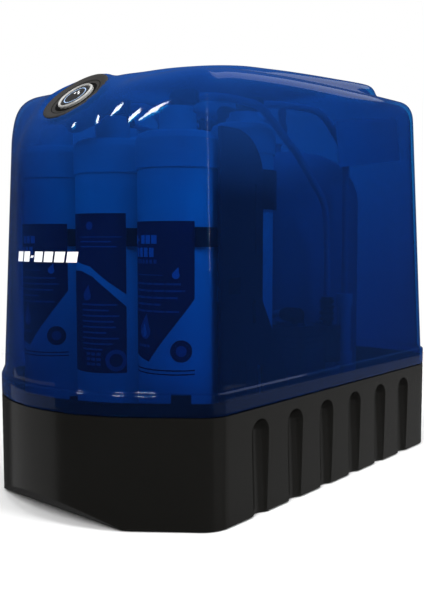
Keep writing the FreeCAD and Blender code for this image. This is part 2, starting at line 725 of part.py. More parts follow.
def make_tank_shell():
    shell = tank_form(0).cut(tank_form(TANK_WALL))
    neck = post(11, TANK_X, TANK_Y, TANK_TOP_Z - 1.5, TANK_TOP_Z + 12)
    return shell.fuse(neck)


def make_tank_bladder():
    """The water bag in the tank's upper half, hanging from the neck."""
    whole = tank_form(TANK_WALL + 1.5)
    inner = tank_form(TANK_WALL + 3.0)
    top_half = block(-100, 100, TANK_Y - 100, TANK_Y + 100, 168, TANK_TOP_Z)
    bag = whole.common(top_half).cut(inner)
    floor = post(TANK_RADIUS - TANK_WALL - 1.5, TANK_X, TANK_Y, 166.5, 168)
    return bag.fuse(floor)


def make_tank_stand():
    skirt = ring(66, 62, TANK_X, TANK_Y, FLOOR_TOP, 40)
    foot = ring(72, 62, TANK_X, TANK_Y, FLOOR_TOP, FLOOR_TOP + 4)
    return skirt.fuse(foot).cut(tank_form(0))


def make_tank_valve():
    """Ball valve on the tank's neck: union nut, body, an inlet and an outlet barrel."""
    z = TANK_VALVE_Z
    nut = hexagon(13, TANK_X, TANK_Y, TANK_TOP_Z + 12, TANK_TOP_Z + 21)
    stem = post(9, TANK_X, TANK_Y, TANK_TOP_Z + 21, z)
    core = Part.makeSphere(11.5, Vector(TANK_X, TANK_Y, z))
    inlet = rod(ELBOW_RADIUS, Vector(TANK_X, TANK_Y, z), Vector(0, -1, 0), 20)
    outlet = rod(ELBOW_RADIUS, Vector(TANK_X, TANK_Y, z), Vector(-1, 0, 0), 20)
    return nut.fuse([stem, core, inlet, outlet])


def hexagon(apothem, x, y, z0, z1):
    reach = apothem / math.cos(math.pi / 6)
    points = [
        Vector(x + reach * math.cos(math.pi / 3 * k), y + reach * math.sin(math.pi / 3 * k), z0)
        for k in range(6)
    ]
    return polygon_prism(points, Vector(0, 0, z1 - z0))


def make_tank_lever():
    """Quarter-turn handle on the right of the valve, upright when the valve is open."""
    z = TANK_VALVE_Z
    hub = rod(6.5, Vector(TANK_X + 12.2, TANK_Y, z), Vector(1, 0, 0), 5)
    arm = rounded_block(-4.5, 4.5, -2.2, 2.2, 0, LEVER_REACH + 1, 1.5)
    arm.rotate(Vector(0, 0, 0), UP, 90)
    arm.translate(Vector(TANK_X + 14.9, TANK_Y, z))
    grip = rod(5.0, Vector(TANK_X + 12.7, TANK_Y, z + LEVER_REACH), Vector(1, 0, 0), 4.4)
    return hub.fuse([arm, grip])


# ---------------------------------------------------------------- booster pump
PUMP_SCREW_SPOTS = [(PUMP_X + dx, PUMP_Y + dy) for dx in (-14, 14) for dy in (-14, 14)]


def make_pump_bracket():
    """A steel shelf with two bent legs, and the strap that the motor stands in."""
    z = PUMP_CAN_BOTTOM_Z
    shelf = block(PUMP_X - 20, PUMP_X + 20, PUMP_Y - 20, PUMP_Y + 20, z - 4, z - 2)
    legs = [
        block(PUMP_X - 20, PUMP_X + 20, y, y + 2, FLOOR_TOP, z - 4)
        for y in (PUMP_Y - 20, PUMP_Y + 18)
    ]
    return shelf.fuse(legs)


def make_pump_grommets():
    return [
        post(4, PUMP_X + x, PUMP_Y + y, PUMP_CAN_BOTTOM_Z - 2, PUMP_CAN_BOTTOM_Z)
        for x in (-12, 12) for y in (-12, 12)
    ]


def make_pump_motor():
    z0, z1 = PUMP_CAN_BOTTOM_Z, PUMP_CAN_TOP_Z
    can = post(PUMP_CAN_RADIUS, PUMP_X, PUMP_Y, z0, z1)
    hollow = post(PUMP_CAN_RADIUS - 3, PUMP_X, PUMP_Y, z0 + 10, z1 - 6)
    lower_bearing = post(5.0, PUMP_X, PUMP_Y, z0 + 3, z0 + 10)
    upper_bearing = post(5.0, PUMP_X, PUMP_Y, z1 - 6, z1 + 1)
    return can.cut(hollow).cut(lower_bearing).cut(upper_bearing)


def make_pump_bearings():
    bore = PUMP_SHAFT_RADIUS + PUMP_SHAFT_CLEARANCE
    return [
        ring(5.0, bore, PUMP_X, PUMP_Y, z0, z0 + 6)
        for z0 in (PUMP_CAN_BOTTOM_Z + 4, PUMP_CAN_TOP_Z - 6)
    ]


def make_pump_rotor():
    """Shaft, wound core and the eccentric that drives the diaphragm head."""
    z0 = PUMP_CAN_BOTTOM_Z
    shaft = post(PUMP_SHAFT_RADIUS, PUMP_X, PUMP_Y, z0 + 4, PUMP_CAN_TOP_Z + 16)
    core = post(14.0, PUMP_X, PUMP_Y, z0 + 18, PUMP_CAN_TOP_Z - 16)
    eccentric = post(7.0, PUMP_X + 1.5, PUMP_Y, PUMP_CAN_TOP_Z + 5, PUMP_CAN_TOP_Z + 15)
    return shaft.fuse([core, eccentric])


def make_pump_head():
    """Square diaphragm head with cooling ribs, a hollow for the eccentric, and an outlet neck."""
    z0, z1 = PUMP_CAN_TOP_Z, PUMP_HEAD_TOP_Z
    half = 20.0
    head = rounded_block(PUMP_X - half, PUMP_X + half, PUMP_Y - half, PUMP_Y + half, z0, z1, 6)
    grooves = [z0 + 24 + 5 * k for k in range(3)]
    for z in grooves:
        outer = block(PUMP_X - half - 1, PUMP_X + half + 1, PUMP_Y - half - 1, PUMP_Y + half + 1, z, z + 2)
        inner = rounded_block(
            PUMP_X - half + 2, PUMP_X + half - 2, PUMP_Y - half + 2, PUMP_Y + half - 2, z, z + 2, 5)
        head = head.cut(outer.cut(inner))
    hollow = post(13, PUMP_X, PUMP_Y, z0, z0 + 20)
    head = head.cut(hollow)
    for x, y in PUMP_SCREW_SPOTS:
        head = head.cut(post(SCREW_RADIUS, x, y, z1 - SCREW_REACH - 0.5, z1 + 1))
    return head


def make_pump_screws():
    return [machine_screw(x, y, PUMP_HEAD_TOP_Z) for x, y in PUMP_SCREW_SPOTS]


# ---------------------------------------------------------------- valves, switches, inline parts
LOW_SWITCH_X, LOW_SWITCH_Y = 101.0, 52.0


def make_low_pressure_switch():
    """Round switch body with a threaded port on top and a close nipple into the pump head."""
    x, y = LOW_SWITCH_X, LOW_SWITCH_Y
    body = post(13, x, y, 104, 137)
    nipple = rod(4.5, Vector(x - 3, PUMP_Y + 20, 118), Vector(0, 1, 0), 14)
    port = threaded_post(x, y, 137, 164)
    return body.fuse([nipple, port])


def threaded_post(x, y, z0, z1):
    """A knurled quick-connect barrel: four collars on a plain core."""
    core = post(5.5, x, y, z0, z1)
    step = (z1 - z0) / 5
    collars = [post(7.0, x, y, z0 + step * k, z0 + step * (k + 0.55)) for k in range(1, 5)]
    return core.fuse(collars)


SOLENOID_X, SOLENOID_Y, SOLENOID_Z = -104.0, 10.0, 60.0


def make_solenoid_valve():
    x, y, z = SOLENOID_X, SOLENOID_Y, SOLENOID_Z
    body = rounded_block(x - 9.5, x + 9.5, y - 15, y + 15, z - 11, z + 11, 3)
    barrels = rod(ELBOW_RADIUS, Vector(x, y - 22, z), Vector(0, 1, 0), 44)
    coil = post(9.5, x, y, z + 11, z + 38)
    cap = post(6, x, y, z + 38, z + 41)
    return body.fuse([barrels, coil, cap])


HIGH_SWITCH_X, HIGH_SWITCH_Z = -44.0, TANK_VALVE_Z


def make_high_pressure_switch():
    """Inline switch between the tank and the polishing filter."""
    x, z = HIGH_SWITCH_X, HIGH_SWITCH_Z
    line = rod(ELBOW_RADIUS, Vector(x, 30, z), Vector(0, 1, 0), 40)
    body = rod(9.5, Vector(x, 38, z), Vector(0, 1, 0), 24)
    return body.fuse(line)


PERMEATE_X, PERMEATE_Z = 52.5, 328.0


def make_check_valve():
    start = elbow_exit(PERMEATE_X, REAR_ROW_Y, PERMEATE_Z, 90)
    body = rod(7.5, start + Vector(0, 6, 0), Vector(0, 1, 0), 22)
    line = rod(5.5, start, Vector(0, 1, 0), 34)
    return body.fuse(line)


RESTRICTOR_X, RESTRICTOR_Y = 105.5, 76.0


def make_flow_restrictor():
    x, y = RESTRICTOR_X, RESTRICTOR_Y
    return post(6.5, x, y, 104, 160).fuse([post(8.0, x, y, 98, 110), post(8.0, x, y, 154, 166)])


# ---------------------------------------------------------------- elbows
def elbow_exit(x, y, z, azimuth):
    angle = math.radians(azimuth)
    return Vector(x, y, z) + Vector(math.cos(angle), math.sin(angle), 0) * ELBOW_REACH


def elbow(x, y, port_z, centre_z, azimuth):
    """Quick-connect elbow: a stem on the port at port_z and a level barrel with a collar."""
    z0, z1 = sorted((port_z, centre_z))
    angle = math.radians(azimuth)
    out = Vector(math.cos(angle), math.sin(angle), 0)
    centre = Vector(x, y, centre_z)
    stem = post(ELBOW_RADIUS - 0.5, x, y, z0, z1)
    corner = Part.makeSphere(ELBOW_RADIUS, centre)
    barrel = rod(ELBOW_RADIUS, centre, out, ELBOW_REACH - 3)
    collar = rod(ELBOW_RADIUS - 1.5, centre + out * (ELBOW_REACH - 3), out, 3)
    body = stem.fuse([corner, barrel, collar])
    limit = block(x - 40, x + 40, y - 40, y + 40, min(z0, centre_z - 20), max(z1, centre_z + 20))
    if port_z < centre_z:
        limit = block(x - 40, x + 40, y - 40, y + 40, port_z, centre_z + 20)
    else:
        limit = block(x - 40, x + 40, y - 40, y + 40, centre_z - 20, port_z)
    return body.common(limit)


FRONT_TOP = FRONT_NECK_TOP_Z + ELBOW_RISE
REAR_TOP = REAR_NECK_TOP_Z + ELBOW_RISE
LOW = CARTRIDGE_FOOT_Z - ELBOW_RISE
LINK_AZIMUTH = math.degrees(math.atan2(21, 37.5))
FRONT_LAST_AZIMUTH = 35.0
MEMBRANE_FEED_AZIMUTH = 107.7
POLISH_AZIMUTH = 129.7
MINERAL_TOP_AZIMUTH = 122.0
BRINE_AZIMUTH = 52.0

ELBOWS = [
    # x, y, port z, centre z, azimuth of the barrel
    (-FRONT_PITCH, FRONT_ROW_Y, CARTRIDGE_FOOT_Z, LOW, 180),
    (-FRONT_PITCH, FRONT_ROW_Y, FRONT_NECK_TOP_Z, FRONT_TOP, LINK_AZIMUTH),
    (0, FRONT_ROW_Y, CARTRIDGE_FOOT_Z, LOW, 180 - LINK_AZIMUTH),
    (0, FRONT_ROW_Y, FRONT_NECK_TOP_Z, FRONT_TOP, LINK_AZIMUTH),
    (FRONT_PITCH, FRONT_ROW_Y, CARTRIDGE_FOOT_Z, LOW, 180 - LINK_AZIMUTH),
    (FRONT_PITCH, FRONT_ROW_Y, FRONT_NECK_TOP_Z, FRONT_TOP, FRONT_LAST_AZIMUTH),
    (REAR_PITCH, REAR_ROW_Y, CARTRIDGE_FOOT_Z, LOW, MEMBRANE_FEED_AZIMUTH),
    (REAR_PITCH, REAR_ROW_Y, REAR_NECK_TOP_Z, REAR_TOP, BRINE_AZIMUTH),
    (PERMEATE_X, REAR_ROW_Y, REAR_CAP_TOP_Z, PERMEATE_Z, 90),
    (0, REAR_ROW_Y, REAR_NECK_TOP_Z, REAR_TOP, POLISH_AZIMUTH),
    (0, REAR_ROW_Y, CARTRIDGE_FOOT_Z, LOW, 180),
    (-REAR_PITCH, REAR_ROW_Y, CARTRIDGE_FOOT_Z, LOW, 0),
    (-REAR_PITCH, REAR_ROW_Y, REAR_NECK_TOP_Z, REAR_TOP, MINERAL_TOP_AZIMUTH),
    (PUMP_X, PUMP_Y, PUMP_HEAD_TOP_Z, PUMP_HEAD_TOP_Z + ELBOW_RISE, 180),
]


# ---------------------------------------------------------------- ports in the back wall
def make_port(x):
    """Bulkhead connector: an outer barrel, a flange, a nut inside, and a blind tube bore."""
    back = Vector(0, 1, 0)
    barrel = rod(6.9, Vector(x, PORT_INNER_Y, PORT_Z), back, 205.0 - PORT_INNER_Y)
    flange = rod(9.0, Vector(x, PORT_FLOOR_Y, PORT_Z), back, 2.0)
    nut = rod(9.5, Vector(x, PORT_FLOOR_Y - CASE_WALL - 6, PORT_Z), back, 6)
    bore = rod(PORT_BORE_RADIUS, Vector(x, 183, PORT_Z), back, 30)
    counterbore = rod(5.2, Vector(x, 196, PORT_Z), back, 20)
    return barrel.fuse([flange, nut]).cut(bore).cut(counterbore)


def make_collet(x):
    back = Vector(0, 1, 0)
    sleeve = rod(4.9, Vector(x, 197.6, PORT_Z), back, 205.0 + COLLET_TRAVEL + 0.2 - 197.6)
    head = rod(6.2, Vector(x, 205.0 + COLLET_TRAVEL + 0.2, PORT_Z), back, 1.6)
    hole = rod(PORT_BORE_RADIUS + 0.1, Vector(x, 190, PORT_Z), back, 30)
    return sleeve.fuse(head).cut(hole)


def make_dc_jack():
    back = Vector(0, 1, 0)
    x = DC_JACK_X
    barrel = rod(6.9, Vector(x, PORT_INNER_Y + 2, PORT_Z), back, 203.0 - PORT_INNER_Y - 2)
    flange = rod(8.5, Vector(x, PORT_FLOOR_Y, PORT_Z), back, 1.5)
    nut = rod(9.0, Vector(x, PORT_FLOOR_Y - CASE_WALL - 4, PORT_Z), back, 4)
    socket = rod(2.8, Vector(x, 193, PORT_Z), back, 20)
    pin = rod(1.0, Vector(x, 193, PORT_Z), back, 8)
    return barrel.fuse([flange, nut]).cut(socket).fuse(pin)


# ---------------------------------------------------------------- tubes
def tube(points, radius, bend):
    """A held tube: straight runs joined by tangent arcs of the given bend radius.

    A bend is made smaller where its two runs are too short for it.
    """
    corners = [Vector(*p) for p in points]
    edges = []
    start = corners[0]
    for index in range(1, len(corners) - 1):
        here = corners[index]
        arrive = here - corners[index - 1]
        leave = corners[index + 1] - here
        turn = arrive.getAngle(leave)
        room = 0.45 * min(arrive.Length, leave.Length)
        if index in (1, len(corners) - 2):
            room = min(0.9 * (arrive if index == 1 else leave).Length,
                       0.45 * (leave if index == 1 else arrive).Length)
        if len(corners) == 3:
            room = 0.9 * min(arrive.Length, leave.Length)
        setback = min(bend * math.tan(turn / 2), room)
        arrive.normalize()
        leave.normalize()
        arc_start = here - arrive * setback
        arc_end = here + leave * setback
        radius_here = setback / math.tan(turn / 2)
        middle = (leave - arrive).normalize()
        bow = radius_here / math.cos(turn / 2) - radius_here
        arc_mid = here + middle * bow
        edges.append(Part.LineSegment(start, arc_start).toShape())
        edges.append(Part.Arc(arc_start, arc_mid, arc_end).toShape())
        start = arc_end
    edges.append(Part.LineSegment(start, corners[-1]).toShape())
    path = Part.Wire(edges)
    direction = corners[1] - corners[0]
    profile = Part.Wire([Part.makeCircle(radius, corners[0], direction)])
    solid = path.makePipeShell([profile], True, True)
    expected = math.pi * radius ** 2 * path.Length
    if abs(solid.Volume - expected) > 0.01 * expected:
        raise ValueError(f"tube volume {solid.Volume:.0f}, expected {expected:.0f}")
    return solid


def tube_between(start, waypoints, end, bend=20.0, radius=TUBE_RADIUS):
    return tube([tuple(start)] + waypoints + [tuple(end)], radius, bend)


def make_feed_tubes():
    inlet = tube_between(
        (PORT_FEED_X, PORT_INNER_Y, PORT_Z),
        [(PORT_FEED_X, 150, PORT_Z), (-111, 105, 44), (SOLENOID_X, 64, SOLENOID_Z)],
        (SOLENOID_X, SOLENOID_Y + 22, SOLENOID_Z), bend=40)
    outlet = tube_between(
        (SOLENOID_X, SOLENOID_Y - 22, SOLENOID_Z),
        [(SOLENOID_X, -32, SOLENOID_Z), (FEED_RUN_X, -68, LOW), (FEED_RUN_X, FRONT_ROW_Y, LOW)],
        elbow_exit(-FRONT_PITCH, FRONT_ROW_Y, LOW, 180), bend=20)
    return [inlet, outlet]


def make_prefilter_links():
    links = []
    for x in (-FRONT_PITCH, 0):
        column_x, column_y = x + 37.5, FRONT_ROW_Y + 21
        links.append(tube_between(
            elbow_exit(x, FRONT_ROW_Y, FRONT_TOP, LINK_AZIMUTH),
            [(column_x, column_y, FRONT_TOP), (column_x, column_y, LOW)],
            elbow_exit(x + FRONT_PITCH, FRONT_ROW_Y, LOW, 180 - LINK_AZIMUTH), bend=20))
    return links


def make_pump_feed_tube():
    start = elbow_exit(FRONT_PITCH, FRONT_ROW_Y, FRONT_TOP, FRONT_LAST_AZIMUTH)
    return tube_between(
        start,
        [(104, -104.7, FRONT_TOP), (108, -62, 326), (108, -10, 292), (104, 44, 250),
         (LOW_SWITCH_X, LOW_SWITCH_Y, 205)],
        (LOW_SWITCH_X, LOW_SWITCH_Y, 164), bend=42)


def make_pump_outlet_tube():
    height = PUMP_HEAD_TOP_Z + ELBOW_RISE
    return tube_between(
        elbow_exit(PUMP_X, PUMP_Y, height, 180),
        [(58, PUMP_Y, height), (58, PUMP_Y, LOW)],
        elbow_exit(REAR_PITCH, REAR_ROW_Y, LOW, MEMBRANE_FEED_AZIMUTH), bend=20)


def make_permeate_tube():
    start = elbow_exit(PERMEATE_X, REAR_ROW_Y, PERMEATE_Z, 90) + Vector(0, 34, 0)
    return tube_between(
        start,
        [(PERMEATE_X, 36, PERMEATE_Z), (0, 36, TANK_VALVE_Z)],
        (TANK_X, TANK_Y - 20, TANK_VALVE_Z), bend=24)


def make_tank_outlet_tubes():
    first = tube_between(
        (TANK_X - 20, TANK_Y, TANK_VALVE_Z),
        [(HIGH_SWITCH_X, TANK_Y, TANK_VALVE_Z)],
        (HIGH_SWITCH_X, 70, TANK_VALVE_Z), bend=22)
    second = tube_between(
        (HIGH_SWITCH_X, 30, HIGH_SWITCH_Z),
        [(HIGH_SWITCH_X, 11, REAR_TOP)],
        elbow_exit(0, REAR_ROW_Y, REAR_TOP, POLISH_AZIMUTH), bend=22)
    return [first, second]


def make_polish_link():
    return tube_of_line(
        elbow_exit(0, REAR_ROW_Y, LOW, 180), elbow_exit(-REAR_PITCH, REAR_ROW_Y, LOW, 0))


def tube_of_line(start, end):
    return rod(TUBE_RADIUS, start, end - start, (end - start).Length)


def make_product_tube():
    start = elbow_exit(-REAR_PITCH, REAR_ROW_Y, REAR_TOP, MINERAL_TOP_AZIMUTH)
    return tube_between(
        start,
        [(-97, -5.3, REAR_TOP), (-104, 42, 332), (-106.5, 82, 290), (-106.5, 84, 130),
         (-102, 116, 78), (-90, 152, 54), (PORT_PRODUCT_X, 166, PORT_Z)],
        (PORT_PRODUCT_X, PORT_INNER_Y, PORT_Z), bend=45)


def make_brine_tubes():
    start = elbow_exit(REAR_PITCH, REAR_ROW_Y, REAR_TOP, BRINE_AZIMUTH)
    first = tube_between(
        start,
        [(98, -11.3, REAR_TOP), (104, 34, REAR_TOP), (RESTRICTOR_X, RESTRICTOR_Y, 300)],
        (RESTRICTOR_X, RESTRICTOR_Y, 166), bend=45)
    second = tube_between(
        (RESTRICTOR_X, RESTRICTOR_Y, 98),
        [(RESTRICTOR_X, RESTRICTOR_Y, 66), (101, 112, 46), (88, 152, PORT_Z), (PORT_DRAIN_X, 166, PORT_Z)],
        (PORT_DRAIN_X, PORT_INNER_Y, PORT_Z), bend=30)
    return [first, second]


def make_wire_harness():
    """Two-core lead from the power socket to the pump motor."""
    return tube_between(
        (DC_JACK_X, PORT_INNER_Y + 2, PORT_Z),
        [(DC_JACK_X, 160, PORT_Z), (113, 110, 20), (113, 62, 18), (PUMP_X, 48, 44)],
        (PUMP_X, PUMP_Y + PUMP_CAN_RADIUS, 44), bend=25, radius=2.0)


# ---------------------------------------------------------------- write every node
def main():
    os.makedirs("parts", exist_ok=True)
    save("base_tub", make_base_tub())
    save("rubber_feet", *make_rubber_feet())
    save("cover_shell", make_cover_shell())
    save("badge_bezel", make_badge_bezel())
    save("timer_housing", make_timer_housing())
    save("button_ring", make_button_ring())
    save("button_disc", make_button_disc())
    save("rating_label", make_rating_label())
    save("chassis_plate", make_chassis_plate())
    save("chassis_flanges", make_chassis_flange(-1), make_chassis_flange(1))
    save("machine_screws", *make_chassis_screws(), *make_pump_screws())
    save("front_clips", *make_front_clips())
    save("rear_clips", *make_rear_clips())
    make_front_cartridge("sediment_filter", -FRONT_PITCH)
    make_front_cartridge("carbon_block_filter", 0)
    make_front_cartridge("granular_carbon_filter", FRONT_PITCH)
    save("cartridge_labels", *make_front_labels())
    make_rear_cartridge("mineral_filter", -REAR_PITCH)
    make_rear_cartridge("polishing_filter", 0)
    save("membrane_vessel", make_membrane_vessel())
    save("membrane_vessel_caps", *make_cartridge_caps(
        REAR_PITCH, REAR_ROW_Y, REAR_CAP_RADIUS, REAR_CAP_Z, REAR_CAP_TOP_Z, REAR_NECK_TOP_Z))
    save("membrane_element", make_membrane_element())
    save("tank_shell", make_tank_shell())
    save("tank_bladder", make_tank_bladder())
    save("tank_stand", make_tank_stand())
    save("tank_valve", make_tank_valve())
    save("tank_valve_lever", make_tank_lever())
    save("pump_bracket", make_pump_bracket())
    save("pump_grommets", *make_pump_grommets())
    save("pump_motor", make_pump_motor())
    save("pump_bearings", *make_pump_bearings())
    save("pump_rotor", make_pump_rotor())
    save("pump_head", make_pump_head())
    save("solenoid_valve", make_solenoid_valve())
    save("low_pressure_switch", make_low_pressure_switch())
    save("high_pressure_switch", make_high_pressure_switch())
    save("check_valve", make_check_valve())
    save("flow_restrictor", make_flow_restrictor())
    save("elbow_fittings", *[elbow(*row) for row in ELBOWS])
    save("feed_port", make_port(PORT_FEED_X))
    save("product_port", make_port(PORT_PRODUCT_X))
    save("drain_port", make_port(PORT_DRAIN_X))
    save("feed_collet", make_collet(PORT_FEED_X))
    save("product_collet", make_collet(PORT_PRODUCT_X))
    save("drain_collet", make_collet(PORT_DRAIN_X))
    save("dc_socket", make_dc_jack())
    save("tube_feed", *make_feed_tubes())
    save("tube_prefilter_links", *make_prefilter_links())
    save("tube_pump_feed", make_pump_feed_tube())
    save("tube_membrane_feed", make_pump_outlet_tube())
    save("tube_permeate", make_permeate_tube())
    save("tube_polishing", *make_tank_outlet_tubes(), make_polish_link())
    save("tube_product", make_product_tube())
    save("tube_brine", *make_brine_tubes())
    save("wire_harness", make_wire_harness())


main()
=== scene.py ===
import math

import bmesh
import bpy
import numpy as np
from mathutils import Matrix, Vector


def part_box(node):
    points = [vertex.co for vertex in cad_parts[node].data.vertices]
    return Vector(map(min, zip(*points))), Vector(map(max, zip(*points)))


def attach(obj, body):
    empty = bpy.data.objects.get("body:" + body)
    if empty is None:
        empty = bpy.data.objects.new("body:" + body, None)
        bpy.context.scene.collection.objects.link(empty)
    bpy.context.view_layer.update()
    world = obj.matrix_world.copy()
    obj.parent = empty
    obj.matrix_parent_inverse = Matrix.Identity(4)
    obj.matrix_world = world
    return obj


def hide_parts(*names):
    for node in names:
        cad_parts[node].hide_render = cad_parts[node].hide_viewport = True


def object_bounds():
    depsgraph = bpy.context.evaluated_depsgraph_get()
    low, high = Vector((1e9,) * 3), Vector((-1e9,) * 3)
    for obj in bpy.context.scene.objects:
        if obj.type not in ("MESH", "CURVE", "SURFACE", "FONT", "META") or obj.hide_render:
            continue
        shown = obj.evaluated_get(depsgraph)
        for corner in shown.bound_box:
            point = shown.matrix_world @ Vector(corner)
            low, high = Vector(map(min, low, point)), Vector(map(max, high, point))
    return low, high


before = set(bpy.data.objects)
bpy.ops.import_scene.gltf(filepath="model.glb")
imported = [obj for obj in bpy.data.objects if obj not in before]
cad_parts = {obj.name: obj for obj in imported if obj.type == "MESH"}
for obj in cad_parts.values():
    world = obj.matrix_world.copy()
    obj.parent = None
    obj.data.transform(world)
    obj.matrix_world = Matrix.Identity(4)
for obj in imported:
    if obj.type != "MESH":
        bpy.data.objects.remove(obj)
LOW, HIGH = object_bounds()
MM = 0.001


# ------------------------------------------------------------------ materials
def new_material(name):
    """An empty node material with its output."""
    material = bpy.data.materials.new(name)
    material.use_nodes = True
    tree = material.node_tree
    tree.nodes.clear()
    output = tree.nodes.new("ShaderNodeOutputMaterial")
    return material, tree, output


def noise(tree, scale, detail=3.0, roughness=0.55):
    """A noise texture in object space; returns its value socket."""
    place = tree.nodes.new("ShaderNodeTexCoord")
    texture = tree.nodes.new("ShaderNodeTexNoise")
    texture.inputs["Scale"].default_value = scale
    texture.inputs["Detail"].default_value = detail
    texture.inputs["Roughness"].default_value = roughness
    tree.links.new(place.outputs["Object"], texture.inputs["Vector"])
    return texture.outputs["Fac"]


def ramp(tree, value, dark, light, low=0.35, high=0.65):
    """Colours a value between dark and light."""
    node = tree.nodes.new("ShaderNodeValToRGB")
    node.color_ramp.elements[0].position = low
    node.color_ramp.elements[1].position = high
    node.color_ramp.elements[0].color = (*dark, 1)
    node.color_ramp.elements[1].color = (*light, 1)
    tree.links.new(value, node.inputs["Fac"])
    return node.outputs["Color"]


def span(tree, value, source, target):
    """Maps one range of a value to another, clamped."""
    node = tree.nodes.new("ShaderNodeMapRange")
    node.inputs["From Min"].default_value, node.inputs["From Max"].default_value = source
    node.inputs["To Min"].default_value, node.inputs["To Max"].default_value = target
    tree.links.new(value, node.inputs["Value"])
    return node.outputs["Result"]


def spread(tree, value, low, high):
    """Maps 0-1 to low-high."""
    return span(tree, value, (0.0, 1.0), (low, high))


def combine(tree, operation, first, second):
    """Two value sockets put together by a math node."""
    node = tree.nodes.new("ShaderNodeMath")
    node.operation = operation
    tree.links.new(first, node.inputs[0])
    tree.links.new(second, node.inputs[1])
    return node.outputs["Value"]


def total(tree, *values):
    """The sum of several value sockets."""
    so_far = values[0]
    for value in values[1:]:
        so_far = combine(tree, "ADD", so_far, value)
    return so_far


def power(tree, value, exponent):
    """A value socket raised to a constant."""
    node = tree.nodes.new("ShaderNodeMath")
    node.operation = "POWER"
    node.inputs[1].default_value = exponent
    tree.links.new(value, node.inputs[0])
    return node.outputs["Value"]


def bump(tree, value, strength, distance):
    """A normal disturbed by a value socket."""
    node = tree.nodes.new("ShaderNodeBump")
    node.inputs["Strength"].default_value = strength
    node.inputs["Distance"].default_value = distance
    tree.links.new(value, node.inputs["Height"])
    return node.outputs["Normal"]


def blend(tree, share, first, second):
    """Two shaders mixed, all of the second where share is 1."""
    node = tree.nodes.new("ShaderNodeMixShader")
    tree.links.new(share, node.inputs["Fac"])
    tree.links.new(first, node.inputs[1])
    tree.links.new(second, node.inputs[2])
    return node.outputs["Shader"]


def plastic(name, color, rough=0.35, vary=0.12, grain=180.0, relief=0.05, gloss=0.5, glow=0.0):
    """A moulded surface: slight colour drift, uneven gloss and a fine grain."""
    material, tree, output = new_material(name)
    shader = tree.nodes.new("ShaderNodeBsdfPrincipled")
    drift = noise(tree, 9.0, 2.0)
    fine = noise(tree, grain, 4.0)
    dark = tuple(c * (1 - vary) for c in color)
    light = tuple(min(1.0, c * (1 + vary)) for c in color)
    tree.links.new(ramp(tree, drift, dark, light), shader.inputs["Base Color"])
    tree.links.new(spread(tree, fine, rough * 0.8, rough * 1.2), shader.inputs["Roughness"])
    tree.links.new(bump(tree, fine, relief, 0.0004), shader.inputs["Normal"])
    shader.inputs["Specular IOR Level"].default_value = gloss
    # glow is painted light: the surface emits though it is no lamp
    if glow:
        shader.inputs["Emission Color"].default_value = (*color, 1)
        shader.inputs["Emission Strength"].default_value = glow
    tree.links.new(shader.outputs["BSDF"], output.inputs["Surface"])
    return material


def brushed(name, color, rough=0.3, along="Z"):
    """Metal with fine lines along one axis."""
    material, tree, output = new_material(name)
    shader = tree.nodes.new("ShaderNodeBsdfPrincipled")
    place = tree.nodes.new("ShaderNodeTexCoord")
    stretch = tree.nodes.new("ShaderNodeMapping")
    scale = {"X": (2, 400, 400), "Y": (400, 2, 400), "Z": (400, 400, 2)}[along]
    stretch.inputs["Scale"].default_value = scale
    lines = tree.nodes.new("ShaderNodeTexNoise")
    lines.inputs["Scale"].default_value = 1.0
    lines.inputs["Detail"].default_value = 2.0
    tree.links.new(place.outputs["Object"], stretch.inputs["Vector"])
    tree.links.new(stretch.outputs["Vector"], lines.inputs["Vector"])
    value = lines.outputs["Fac"]
    dark = tuple(c * 0.85 for c in color)
    tree.links.new(ramp(tree, value, dark, color), shader.inputs["Base Color"])
    tree.links.new(spread(tree, value, rough * 0.7, rough * 1.3), shader.inputs["Roughness"])
    tree.links.new(bump(tree, value, 0.1, 0.0002), shader.inputs["Normal"])
    shader.inputs["Metallic"].default_value = 1.0
    tree.links.new(shader.outputs["BSDF"], output.inputs["Surface"])
    return material


